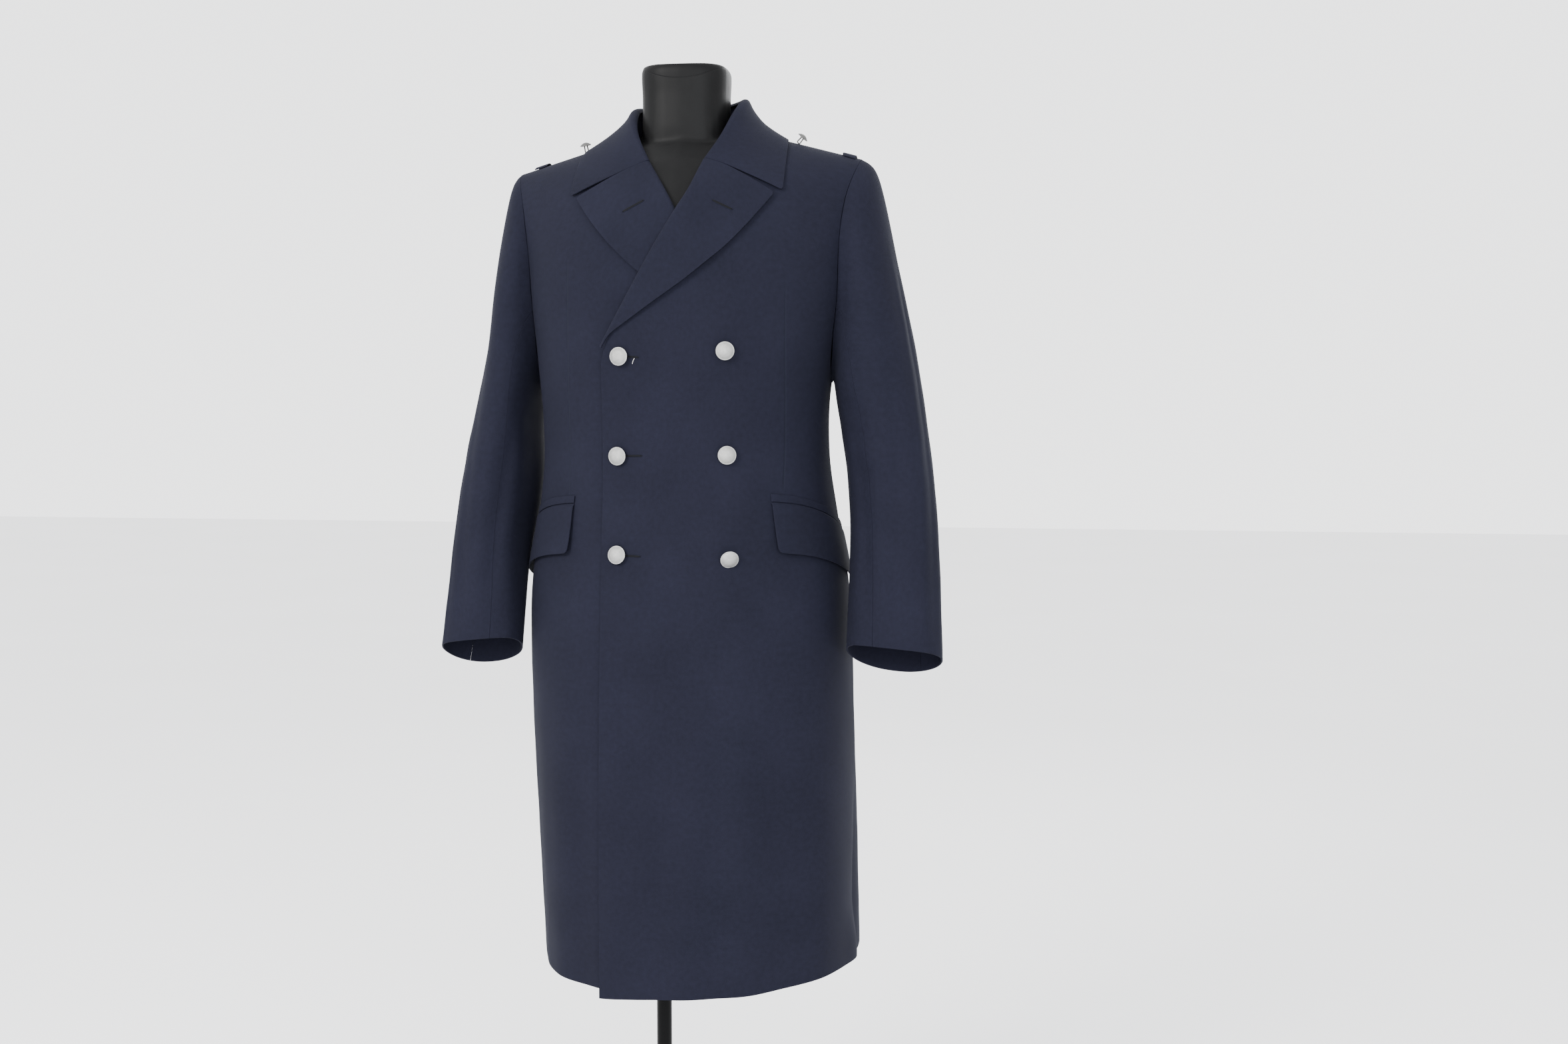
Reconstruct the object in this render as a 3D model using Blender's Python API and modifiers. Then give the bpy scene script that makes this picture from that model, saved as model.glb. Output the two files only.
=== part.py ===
"""A double-breasted greatcoat that stands on a limbless dress form.

Metres, +Z up, the coat's front towards -Y. Left and right are the wearer's, so left is +X.
The origin is the centre of the stand base's underside.
"""

import bisect
import math

import bmesh
import bpy
from mathutils import Vector

# Cloth and seams
CLOTH = 0.0023
SEAM = 0.0003
LAYER_AIR = 0.0010
STEP_OUT = CLOTH + LAYER_AIR
FOLD_RADIUS = STEP_OUT + SEAM + CLOTH / 2

# The coat hangs a little to the wearer's left of the stand's pole
COAT_PLACE = (0.040, 0.0, 0.0)

# Heights on the coat's centre line
HEM = 0.404
ARMPIT = 1.142
CHEST = 1.270
RIDGE = 1.4710
RIDGE_RISE = CHEST + (RIDGE - CHEST) * math.pi / 2
SKIRT_ROWS = 15
ARMHOLE_ROWS = 17

# Cross-sections of the hanging cloth, from the hem up
# (level, half_width, front, back, drift to the left)
SECTIONS = (
    (0.360, 0.2045, 0.1850, 0.1860, 0.0130),
    (0.404, 0.2050, 0.1850, 0.1850, 0.0125),
    (0.500, 0.2070, 0.1820, 0.1800, 0.0100),
    (0.600, 0.2090, 0.1770, 0.1730, 0.0068),
    (0.760, 0.2110, 0.1680, 0.1600, 0.0018),
    (0.880, 0.2091, 0.1570, 0.1470, -0.0006),
    (0.970, 0.1961, 0.1460, 0.1320, -0.0031),
    (1.050, 0.1857, 0.1390, 0.1220, -0.0047),
    (1.142, 0.1895, 0.1430, 0.1240, -0.0065),
    (1.194, 0.1970, 0.1440, 0.1270, -0.0030),
    (1.260, 0.2066, 0.1430, 0.1300, 0.0000),
    (1.300, 0.2100, 0.1430, 0.1310, 0.0000),
    (1.340, 0.2150, 0.1430, 0.1310, 0.0000),
    (1.380, 0.2268, 0.1430, 0.1310, 0.0000),
    (1.420, 0.2402, 0.1430, 0.1310, 0.0000),
    (RIDGE, 0.2611, 0.1430, 0.1310, 0.0000),
)
ROUNDNESS = 2.3
ARCH_ROUNDNESS = 1.8
# The shoulders fall a little less steeply on the left
LEFT_SLOPE = 0.268
RIGHT_SLOPE = 0.305
SLOPE_ROUND = 0.040

# Soft flutes of the skirt, deepest at the hem (angle in degrees from the front, width, depth, top)
FLUTES = (
    (118.0, 15.0, 0.0045, 0.92),
    (150.0, 13.0, -0.0040, 0.92),
    (-112.0, 14.0, 0.0050, 0.92),
    (-146.0, 15.0, -0.0035, 0.92),
    (62.0, 13.0, 0.0022, 0.92),
    (-58.0, 12.0, 0.0018, 0.92),
    (90.0, 6.0, -0.0048, 0.68),
    (103.0, 8.0, 0.0036, 0.68),
)

# Where the armhole cuts each level, as a part of the half width
# (level, part)
ARMHOLE = (
    (1.142, 1.000),
    (1.168, 0.989),
    (1.194, 0.975),
    (1.225, 0.962),
    (1.260, 0.951),
    (1.300, 0.943),
    (1.340, 0.925),
    (1.380, 0.893),
    (1.420, 0.868),
    (RIDGE, 0.852),
)

# Fronts: the left one laps over the right one
OVER_REACH = 0.084
UNDER_REACH = 0.080
BREAK_LEVEL = 1.186
V_LEVEL = 1.355
GORGE_LEVEL = 1.4195
# Distance of the roll lines from the centre (level, over front, under front)
ROLL_LINES = (
    (1.1500, -0.0985, -0.1083),
    (BREAK_LEVEL, -0.0795, -0.0895),
    (1.2700, -0.0335, -0.0456),
    (V_LEVEL, 0.0142, -0.0012),
    (GORGE_LEVEL, 0.0378, 0.0378),
)
LAP_EASE = 0.040

# Hem heights from a panel's free edge or the centre back round to its side
# (part, over_front, under_front, left_back, right_back)
HEM_LINE = (
    (0.00, 0.3790, 0.3965, 0.4000, 0.4000),
    (0.25, 0.3878, 0.3910, 0.4010, 0.4014),
    (0.50, 0.3940, 0.3905, 0.4008, 0.4024),
    (0.75, 0.3998, 0.3950, 0.3980, 0.4032),
    (1.00, 0.3965, HEM, 0.3965, HEM),
)

# Back vent, the left back laps over the right one
VENT_TOP = 0.780
VENT_LAP = math.radians(11.0)
VENT_EASE = math.radians(26.0)
VENT_LIFT = 0.0042
VENT_FADE = (0.800, 0.920)
BACK_CROWDING = 1.25

# Outer edge of a lapel, from the break to the peak, seen from the front
# (part, across, height)
LAPEL_EDGE = (
    (0.00, -0.0745, 1.1985),
    (0.15, -0.0480, 1.2175),
    (0.35, -0.0080, 1.2460),
    (0.55, 0.0330, 1.2755),
    (0.75, 0.0740, 1.3115),
    (0.90, 0.1055, 1.3465),
    (1.00, 0.1240, 1.3705),
)
LAPEL_BULGE = 0.0025
LAPEL_ROWS = 14
LEAF_COLUMNS = 6
FOLD_STEPS = 3
FOLD_START = math.radians(-10.0)

# Collar from the centre back round to the gorge: the neck seam and the outer edge in plan,
# the centre of the rolled fold and the way out of it, and the fold's radius
# (part, neck_x, neck_y, edge_x, edge_y, fold_x, fold_y, fold_z, out_x, out_y, out_z, radius)
COLLAR = (
    (0.00, 0.0000, 0.0585, 0.0000, 0.0810, 0.0000, 0.0740, 1.4940, 0.00, 1.00, 0.10, 0.0075),
    (0.15, 0.0290, 0.0540, 0.0430, 0.0790, 0.0290, 0.0690, 1.4940, 0.38, 0.92, 0.10, 0.0075),
    (0.30, 0.0530, 0.0390, 0.0830, 0.0660, 0.0535, 0.0510, 1.4940, 0.78, 0.62, 0.12, 0.0075),
    (0.45, 0.0690, 0.0160, 0.1140, 0.0390, 0.0680, 0.0240, 1.4925, 0.96, 0.25, 0.15, 0.0075),
    (0.58, 0.0730, -0.0080, 0.1280, 0.0040, 0.0715, -0.0050, 1.4870, 0.98, -0.10, 0.20, 0.0075),
    (0.70, 0.0690, -0.0330, 0.1325, -0.0300, 0.0675, -0.0320, 1.4715, 0.85, -0.40, 0.35, 0.0068),
    (0.82, 0.0605, -0.0555, 0.1340, -0.0580, 0.0600, -0.0560, 1.4520, 0.62, -0.60, 0.50, 0.0058),
    (0.92, 0.0485, -0.0735, 0.1342, -0.0770, 0.0485, -0.0735, 1.4320, 0.35, -0.70, 0.62, 0.0050),
    (1.00, 0.0376, -0.0868, 0.1338, -0.0900, 0.0377, -0.0861, 1.4148, 0.14, -0.76, 0.63, FOLD_RADIUS),
)
# The part of the table at which the neck seam meets the shoulder seam
SHOULDER_PART = 0.54
COLLAR_COLUMNS = 24
FALL_ROWS = 5
FALL_DROP = 0.16
STAND_END = 0.95
STAND_ROWS = 2
COLLAR_FOLD_START = math.radians(-65.0)
COLLAR_TIP = (0.1338, 1.3700)

# Sleeve sections: the outermost and the innermost point of each and how far both hang to the
# left, its middle and half depth from front to back, and its front's rise above its middle
# (part, outer_x, outer_z, inner_x, inner_z, outer_sway, inner_sway, middle_y, half_depth, rise)
SLEEVE = (
    (0.00, 0.2225, 1.4118, 0.1895, 1.1420, 0.0000, -0.0065, 0.000, 0.0600, 0.000),
    (0.05, 0.2346, 1.4040, 0.1933, 1.1330, 0.0034, -0.0065, 0.000, 0.0660, 0.000),
    (0.11, 0.2415, 1.3850, 0.1945, 1.1260, 0.0050, -0.0070, 0.000, 0.0700, 0.000),
    (0.18, 0.2505, 1.3450, 0.1960, 1.1170, 0.0065, -0.0075, 0.001, 0.0740, 0.000),
    (0.26, 0.2609, 1.2900, 0.1980, 1.1040, 0.0081, -0.0075, 0.002, 0.0765, 0.000),
    (0.36, 0.2730, 1.2200, 0.2015, 1.0800, 0.0115, -0.0070, 0.003, 0.0760, 0.001),
    (0.47, 0.2862, 1.1500, 0.2037, 1.0450, 0.0118, -0.0034, 0.001, 0.0720, 0.003),
    (0.58, 0.2988, 1.0800, 0.2067, 1.0030, 0.0102, -0.0013, -0.008, 0.0660, 0.006),
    (0.69, 0.3090, 1.0100, 0.2098, 0.9550, 0.0105, -0.0006, -0.024, 0.0590, 0.010),
    (0.80, 0.3148, 0.9400, 0.2100, 0.9050, 0.0114, 0.0003, -0.046, 0.0510, 0.014),
    (0.90, 0.3191, 0.8700, 0.2080, 0.8580, 0.0118, 0.0021, -0.063, 0.0440, 0.017),
    (1.00, 0.3238, 0.7990, 0.2070, 0.8100, 0.0102, 0.0023, -0.080, 0.0375, 0.020),
)
SLEEVE_ROUNDNESS = 2.2
CUFF_BOW = 0.0070
SLEEVE_ROWS = 11
FRONT_SEAM = 4
HIND_SEAM = 10

# Pocket flaps and the welts above them, by the angle round the coat
# (side, angle of the front end, height of its top, how much more its rear stands off)
FLAP_PLACES = (
    (1, math.radians(38.5), 0.9960, 0.0),
    (-1, math.radians(36.1), 0.9922, 0.0015),
)
FLAP_REAR = math.radians(101.0)
FLAP_FALL = 0.0520
FLAP_DROOP = 1.7
FLAP_DEPTH = 0.0635
FLAP_FLARE = 0.0040
FLAP_CORNER = 0.032
FLAP_CORNER_RISE = 0.10
FLAP_STATIONS = (0.0, 0.010, 0.032, 0.17, 0.30, 0.44, 0.58, 0.72, 0.86, 1.0)
FLAP_ROWS = 4
WELT_HEIGHT = 0.0095
WELT_CLOTH = 0.0012
WELT_AIR = 0.0014

# Shoulder loops
LEFT_LOOP_MIDDLE = 0.2075
RIGHT_LOOP_MIDDLE = 0.1955
LOOP_WIDTH = 0.0170
LOOP_MIDDLE_Y = 0.0080
LOOP_REACH = 0.0210
LOOP_RISE = 0.0035
LOOP_CLOTH = 0.0018
LOOP_STEPS = 6

# Front buttons (name, across, height, lean sideways, lean upwards, extra lift; angles in degrees)
BUTTONS = (
    ("button_right_top", -0.0582, 1.1748, 0.0, 0.0, -0.0003),
    ("button_right_middle", -0.0634, 1.0525, 0.0, 0.0, 0.0006),
    ("button_right_bottom", -0.0624, 0.9307, 0.0, 0.0, 0.0),
    ("button_left_top", 0.0695, 1.1816, 0.0, 0.0, -0.0003),
    ("button_left_middle", 0.0705, 1.0542, 0.0, 0.0, 0.0008),
    ("button_left_bottom", 0.0749, 0.9287, -12.0, 13.0, 0.0008),
)
BUTTON_SHANK = 0.0028
# From the crown down the outer side to the foot of the shank (radius, height)
BUTTON_PROFILE = (
    (0.0000, 0.0055),
    (0.0041, 0.0051),
    (0.0078, 0.0039),
    (0.0104, 0.0020),
    (0.0114, 0.0006),
    (0.0110, 0.0000),
    (0.0031, 0.0000),
    (0.0026, -BUTTON_SHANK),
    (0.0000, -BUTTON_SHANK),
)
BUTTON_STEPS = 16

# Shoulder buttons (name, across, along, lean sideways, lean forwards; angles in degrees)
SHOULDER_BUTTONS = (
    ("shoulder_button_right", -0.1355, -0.004, -8.0, 16.0),
    ("shoulder_button_left", 0.1410, -0.004, 43.0, 8.0),
)
STALK = 0.0095
SHOULDER_BUTTON_PROFILE = (
    (0.0000, 0.0030),
    (0.0041, 0.0025),
    (0.0067, 0.0012),
    (0.0073, 0.0004),
    (0.0066, 0.0000),
    (0.0018, -0.0005),
    (0.0009, -0.0015),
    (0.0009, -STALK),
    (0.0000, -STALK),
)
SHOULDER_BUTTON_STEPS = 12

# Dress form inside the coat (level, half_width, front, back)
FORM_RIDGE = RIDGE - 0.0032
FORM_SECTIONS = (
    (0.838, 0.1500, 0.0980, 0.0930),
    (0.846, 0.1600, 0.1080, 0.1030),
    (0.865, 0.1660, 0.1150, 0.1090),
    (0.930, 0.1700, 0.1200, 0.1100),
    (1.000, 0.1630, 0.1180, 0.1030),
    (1.060, 0.1590, 0.1180, 0.1020),
    (1.142, 0.1670, 0.1260, 0.1080),
    (1.220, 0.1800, 0.1320, 0.1150),
    (1.300, 0.1860, 0.1330, 0.1190),
    (1.360, 0.1920, 0.1350, 0.1210),
    (1.420, 0.1980, 0.1370, 0.1230),
    (FORM_RIDGE, 0.2030, 0.1370, 0.1230),
)
FORM_BOTTOM = FORM_SECTIONS[0][0]
FORM_COLUMNS = 28
FORM_ROWS = 17
FORM_CREST = 0.955

# Neck block, a rounded square post (height, half_width, half_depth)
NECK = (
    (1.4000, 0.0570, 0.0500),
    (1.4500, 0.0550, 0.0500),
    (1.4820, 0.0537, 0.0490),
    (1.5080, 0.0538, 0.0480),
    (1.5260, 0.0548, 0.0485),
    (1.5370, 0.0548, 0.0485),
    (1.5430, 0.0522, 0.0460),
    (1.5455, 0.0462, 0.0400),
)
NECK_MIDDLE = (-0.0035, -0.002)
NECK_ROUNDNESS = 3.2

# Stand
POLE_RADIUS = 0.010
POLE_SIDES = 24
# From the hub's top centre down the outer side to the underside's centre (radius, height)
BASE_PROFILE = (
    (0.0000, 0.0460),
    (0.0150, 0.0460),
    (0.0180, 0.0440),
    (0.0190, 0.0180),
    (0.0300, 0.0135),
    (0.1650, 0.0105),
    (0.1780, 0.0085),
    (0.1820, 0.0045),
    (0.1800, 0.0000),
    (0.0000, 0.0000),
)
BASE_STEPS = 48
POLE_FOOT = BASE_PROFILE[0][1] + SEAM

# Finishes (colour, roughness, metallic)
CLOTH_FINISH = ((0.030, 0.036, 0.070), 0.85, 0.0)
SILVER_FINISH = ((0.62, 0.62, 0.60), 0.38, 0.9)
FORM_FINISH = ((0.010, 0.010, 0.011), 0.75, 0.0)
STEEL_FINISH = ((0.012, 0.012, 0.013), 0.35, 0.4)


def ease(value, start, end):
    """0 up to start, 1 from end on, and level at both."""
    part = min(max((value - start) / (end - start), 0.0), 1.0)
    return part * part * (3.0 - 2.0 * part)


def signed_power(value, exponent):
    return math.copysign(abs(value) ** exponent, value)


def read_table(table, key):
    """The columns after the first at any key, on a smooth curve through the table's rows."""
    keys = [row[0] for row in table]
    last = len(table) - 1
    key = min(max(key, keys[0]), keys[last])
    low = min(bisect.bisect_right(keys, key) - 1, last - 1)
    span = keys[low + 1] - keys[low]
    part = (key - keys[low]) / span
    values = []
    for column in range(1, len(table[0])):
        slopes = []
        for row in (low, low + 1):
            before, after = max(row - 1, 0), min(row + 1, last)
            rise = table[after][column] - table[before][column]
            slopes.append(span * rise / (keys[after] - keys[before]))
        start, end = table[low][column], table[low + 1][column]
        cubic = 2 * (start - end) + slopes[0] + slopes[1]
        square = 3 * (end - start) - 2 * slopes[0] - slopes[1]
        values.append(((cubic * part + square) * part + slopes[0]) * part + start)
    return values


def level_of_rise(rise, ridge=RIDGE):
    """A row's level from its rise, which runs evenly over the shoulder's arch, and the arch there."""
    if rise <= CHEST:
        return rise, 1.0
    turn = (rise - CHEST) / (ridge - CHEST)
    arch = (1.0 - abs(math.sin(turn)) ** ARCH_ROUNDNESS) ** (1.0 / ARCH_ROUNDNESS)
    return CHEST + (ridge - CHEST) * math.sin(turn), math.copysign(arch, math.cos(turn))


def rise_of_level(level):
    if level <= CHEST:
        return level
    return CHEST + (RIDGE - CHEST) * math.asin(min((level - CHEST) / (RIDGE - CHEST), 1.0))


def shoulder_fall(level, across):
    """How far a level sinks from the centre line towards the shoulder's end."""
    slope = (LEFT_SLOPE if across > 0.0 else RIGHT_SLOPE) * ease(level, ARMPIT, RIDGE)
    return slope * (math.hypot(across, SLOPE_ROUND) - SLOPE_ROUND)


def flute(level, angle):
    """Outward swing of the skirt's soft flutes."""
    swing = 0.0
    for middle, width, depth, top in FLUTES:
        away = (math.degrees(angle) - middle + 180.0) % 360.0 - 180.0
        swing += depth * math.exp(-((away / width) ** 2)) * (1.0 - ease(level, HEM, top))
    return swing


def body_point(rise, angle):
    """A point of the coat's outer face; the angle is 0 at the front and a quarter turn at the left."""
    level, arch = level_of_rise(rise)
    half_width, front, back, drift = read_table(SECTIONS, level)
    depth = (front if math.cos(angle) > 0.0 else back) * arch
    wave = 1.0 + flute(level, angle) / half_width
    across = half_width * wave * signed_power(math.sin(angle), 2 / ROUNDNESS)
    along = -depth * wave * signed_power(math.cos(angle), 2 / ROUNDNESS)
    return Vector((drift + across, along, level - shoulder_fall(level, across)))


def body_normal(rise, angle):
    """The outward direction of the coat's face."""
    step = 1e-4
    up = body_point(rise + step, angle) - body_point(rise - step, angle)
    round_it = body_point(rise, angle + 10 * step) - body_point(rise, angle - 10 * step)
    return round_it.cross(up).normalized()


def angle_at(rise, across):
    """The angle round the front at which a row has this distance from the centre."""
    level, _ = level_of_rise(rise)
    half_width, _, _, drift = read_table(SECTIONS, level)
    part = (across - drift) / half_width
    return math.asin(min(max(signed_power(part, ROUNDNESS / 2), -1.0), 1.0))


def rise_at(across, height):
    """The row of the front that passes this height at this distance from the centre."""
    level = height
    for _ in range(12):
        level = height + shoulder_fall(level, across)
    return rise_of_level(level)


def level_over(across, along):
    """The level of the shoulders' top face over a point of the plan."""
    level = RIDGE
    for _ in range(12):
        half_width, front, back, _ = read_table(SECTIONS, level)
        depth = front if along < 0.0 else back
        side = (1.0 - min(abs(across) / half_width, 1.0) ** ROUNDNESS) ** (1.0 / ROUNDNESS)
        part = min(abs(along) / (depth * side), 1.0)
        level = CHEST + (RIDGE - CHEST) * (1.0 - part**ARCH_ROUNDNESS) ** (1.0 / ARCH_ROUNDNESS)
    return level


def shoulder_point(across, along, lift=0.0):
    """A point over the shoulders' top face, lifted square to it."""

    def height(x, y):
        level = level_over(x, y)
        return level - shoulder_fall(level, x)

    step = 0.0005
    slope_x = (height(across + step, along) - height(across - step, along)) / (2 * step)
    slope_y = (height(across, along + step) - height(across, along - step)) / (2 * step)
    steepness = math.sqrt(1.0 + slope_x**2 + slope_y**2)
    return Vector((across, along, height(across, along) + lift * steepness))


def roll_line(level, side):
    """Distance from the centre of a front's roll line, on the front's own side."""
    return read_table(ROLL_LINES, level)[0 if side > 0 else 1]


def neck_part(level, at_back):
    """The part of the collar table at which the neck seam crosses a level."""
    low, high = (0.0, SHOULDER_PART) if at_back else (1.0, SHOULDER_PART)
    for _ in range(40):
        middle = (low + high) / 2
        neck_x, neck_y = read_table(COLLAR, middle)[:2]
        over = level_over(neck_x, neck_y)
        if (neck_y < 0.0) == at_back or over > level:
            high = middle
        else:
            low = middle
    return (low + high) / 2


def front_inner_edge(level, side):
    """Distance from the centre of a front's free edge, roll line and neck seam."""
    if level <= GORGE_LEVEL:
        return max(-(OVER_REACH if side > 0 else UNDER_REACH), roll_line(level, side))
    neck = read_table(COLLAR, neck_part(level, False))[0]
    return max(neck, roll_line(GORGE_LEVEL, side) + 0.2 * (level - GORGE_LEVEL))


def overlap_lift(across, height):
    """How far the over front stands out over the under front and its lapel."""
    under_edge = min(UNDER_REACH, -roll_line(height, -1)) + FOLD_RADIUS
    layers = 1.0 + 1.7 * ease(height, ARMPIT, 1.190)
    return STEP_OUT * layers * (1.0 - ease(across - under_edge, 0.0, LAP_EASE))


def front_point(rise, angle, side, lift=0.0):
    """A point of a front's outer face: the left front (side 1) has the overlap's lift."""
    point = body_point(rise, angle)
    if side > 0:
        lift += overlap_lift(point.x, point.z)
    return point + body_normal(rise, angle) * lift


def panel_rises():
    """The rows of every body panel, from the hem to the shoulder seam."""
    skirt = [HEM + (ARMPIT - HEM) * row / SKIRT_ROWS for row in range(SKIRT_ROWS)]
    top = [ARMPIT + (RIDGE_RISE - ARMPIT) * row / ARMHOLE_ROWS for row in range(ARMHOLE_ROWS + 1)]
    return skirt + top


def armhole_angle(level):
    return math.asin(read_table(ARMHOLE, level)[0] ** (ROUNDNESS / 2))


def shaped_rise(rise, hem):
    """A row near the hem, bent to the hem's own height."""
    return rise + (hem - HEM) * (1.0 - ease(rise, HEM, HEM + 0.25))


def front_rows(side):
    """Outer and inner points of a front, a row for each rise from the hem up."""
    columns = 13
    outer, inner = [], []
    for rise in panel_rises():
        level, _ = level_of_rise(rise)
        edge = front_inner_edge(level, side)
        start = angle_at(rise, side * edge)
        end = side * (math.pi / 2 if level <= ARMPIT else armhole_angle(level))
        outer_row, inner_row = [], []
        for column in range(columns + 1):
            part = column / columns
            angle = start + (end - start) * part
            over_hem, under_hem, _, _ = read_table(HEM_LINE, part)
            bent = shaped_rise(rise, over_hem if side > 0 else under_hem)
            outer_row.append(front_point(bent, angle, side))
            inner_row.append(front_point(bent, angle, side, -CLOTH))
        outer.append(outer_row)
        inner.append(inner_row)
    return outer, inner


def back_rows(side):
    """Outer and inner points of a back, from the centre-back seam or neck seam to the side."""
    columns = 9
    outer, inner = [], []
    for rise in panel_rises():
        level, _ = level_of_rise(rise)
        lap = VENT_LAP if side > 0 and level < VENT_TOP else 0.0
        start = math.pi + lap
        if level > level_over(0.0, COLLAR[0][2]):
            edge = read_table(COLLAR, neck_part(level, True))[0]
            start = math.pi - angle_at(rise, edge)
        end = math.pi / 2 if level <= ARMPIT else math.pi - armhole_angle(level)
        outer_row, inner_row = [], []
        for column in range(columns + 1):
            part = (column / columns) ** BACK_CROWDING
            angle = start + (end - start) * part
            _, _, left_hem, right_hem = read_table(HEM_LINE, part)
            bent = shaped_rise(rise, left_hem if side > 0 else right_hem)
            normal = body_normal(bent, side * angle)
            lift = 0.0
            if side > 0:
                over = 1.0 - ease(math.pi - angle, VENT_EASE / 3, VENT_EASE)
                lift = VENT_LIFT * over * (1.0 - ease(level, *VENT_FADE))
            outer_row.append(body_point(bent, side * angle) + normal * lift)
            inner_row.append(body_point(bent, side * angle) + normal * (lift - CLOTH))
        outer.append(outer_row)
        inner.append(inner_row)
    return outer, inner


def trim(rows, amount, first_column=False, last_column=False, first_row=False, last_row=False):
    """Draws the named edges back by half a seam's air or more."""
    if first_column or last_column:
        for row in rows:
            if first_column:
                row[0] = row[0] + (row[1] - row[0]).normalized() * amount
            if last_column:
                row[-1] = row[-1] + (row[-2] - row[-1]).normalized() * amount
    if first_row:
        rows[0] = [a + (b - a).normalized() * amount for a, b in zip(rows[0], rows[1])]
    if last_row:
        rows[-1] = [a + (b - a).normalized() * amount for a, b in zip(rows[-1], rows[-2])]


def finish(target, finish_values):
    """Gives an object its own material and smooth faces."""
    colour, roughness, metallic = finish_values
    material = bpy.data.materials.new(target.name)
    material.use_nodes = True
    shader = material.node_tree.nodes["Principled BSDF"]
    shader.inputs["Base Color"].default_value = (*colour, 1.0)
    shader.inputs["Roughness"].default_value = roughness
    shader.inputs["Metallic"].default_value = metallic
    material.diffuse_color = (*colour, 1.0)
    target.data.materials.append(material)


def add_object(name, mesh, collection, finish_values, location=COAT_PLACE):
    made = bpy.data.objects.new(name, mesh)
    made.location = location
    collection.objects.link(made)
    finish(made, finish_values)
    return made


def wall(name, outer, inner, collection, finish_values=CLOTH_FINISH):
    """A closed wall of cloth between two grids of points of the same size."""
    rows, columns = len(outer), len(outer[0])
    shape = bmesh.new()
    bmesh.ops.create_grid(shape, x_segments=columns - 1, y_segments=rows - 1, size=0.5)
    place = shape.verts.layers.int.new("place")
    shape.verts.ensure_lookup_table()
    for index, vert in enumerate(shape.verts):
        vert[place] = index
    turned = bmesh.ops.extrude_face_region(shape, geom=shape.faces[:], use_keep_orig=True)
    inside = {item for item in turned["geom"] if isinstance(item, bmesh.types.BMVert)}
    for vert in shape.verts:
        row, column = divmod(vert[place], columns)
        vert.co = inner[row][column] if vert in inside else outer[row][column]
    bmesh.ops.recalc_face_normals(shape, faces=shape.faces[:])
    if shape.calc_volume(signed=True) < 0.0:
        bmesh.ops.reverse_faces(shape, faces=shape.faces[:])
    for face in shape.faces:
        face.smooth = True
    mesh = bpy.data.meshes.new(name)
    shape.to_mesh(mesh)
    shape.free()
    mesh.set_sharp_from_angle(angle=math.radians(50.0))
    return add_object(name, mesh, collection, finish_values)


def make_body(collection):
    for side, word in ((1, "left"), (-1, "right")):
        outer, inner = front_rows(side)
        for rows in (outer, inner):
            trim(rows, SEAM / 2, last_column=True, last_row=True)
        wall(f"{word}_front", outer, inner, collection)
        outer, inner = back_rows(side)
        for rows in (outer, inner):
            trim(rows, SEAM / 2, first_column=True, last_column=True, last_row=True)
        wall(f"{word}_back", outer, inner, collection)


def fold_point(centre, way_out, away, radius, turn):
    """A point of a rolled fold: turn 0 faces away from the piece it wraps, a quarter turn faces out."""
    return centre + (away * math.cos(turn) + way_out * math.sin(turn)) * radius


def lapel_place(part, leaf, side):
    """Distance from the centre and rise, from the roll line (leaf 0) to the outer edge (leaf 1)."""
    level = BREAK_LEVEL + (GORGE_LEVEL - BREAK_LEVEL) * part
    edge_across, edge_height = read_table(LAPEL_EDGE, part)
    roll_across = roll_line(level, side)
    roll_rise = rise_of_level(level)
    edge_rise = rise_at(side * edge_across, edge_height)
    across = roll_across + (edge_across - roll_across) * leaf
    return across, roll_rise + (edge_rise - roll_rise) * leaf


def lapel_frame(part, side):
    """Centre of a lapel's rolled fold, the way out of the front and the way past its edge."""
    ends = []
    for near in (part - 0.01, part, part + 0.01):
        across, rise = lapel_place(near, 0.0, side)
        ends.append(front_point(rise, angle_at(rise, side * across), side))
    across, rise = lapel_place(part, 0.0, side)
    normal = body_normal(rise, angle_at(rise, side * across))
    along = (ends[2] - ends[0]).normalized()
    away = along.cross(normal).normalized() * -side
    return ends[1] - normal * (CLOTH / 2), normal, away


def make_lapel(side, word, collection):
    """The turned-over lapel: a fold round the front's edge and a leaf that lies on the front."""
    outer, inner = [], []
    for row in range(LAPEL_ROWS + 1):
        part = row / LAPEL_ROWS
        centre, normal, away = lapel_frame(part, side)
        outer_row, inner_row = [], []
        for fold in range(FOLD_STEPS):
            turn = FOLD_START + (math.pi / 2 - FOLD_START) * fold / FOLD_STEPS
            outer_row.append(fold_point(centre, normal, away, FOLD_RADIUS, turn))
            inner_row.append(fold_point(centre, normal, away, FOLD_RADIUS - CLOTH, turn))
        for column in range(LEAF_COLUMNS + 1):
            leaf = column / LEAF_COLUMNS
            across, rise = lapel_place(part, leaf, side)
            angle = angle_at(rise, side * across)
            lift = STEP_OUT + SEAM + LAPEL_BULGE * math.sin(math.pi * leaf) * ease(part, 0.7, 1.0)
            outer_row.append(front_point(rise, angle, side, lift))
            inner_row.append(front_point(rise, angle, side, lift - CLOTH))
        outer.append(outer_row)
        inner.append(inner_row)
    wall(f"{word}_lapel", outer, inner, collection)


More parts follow.
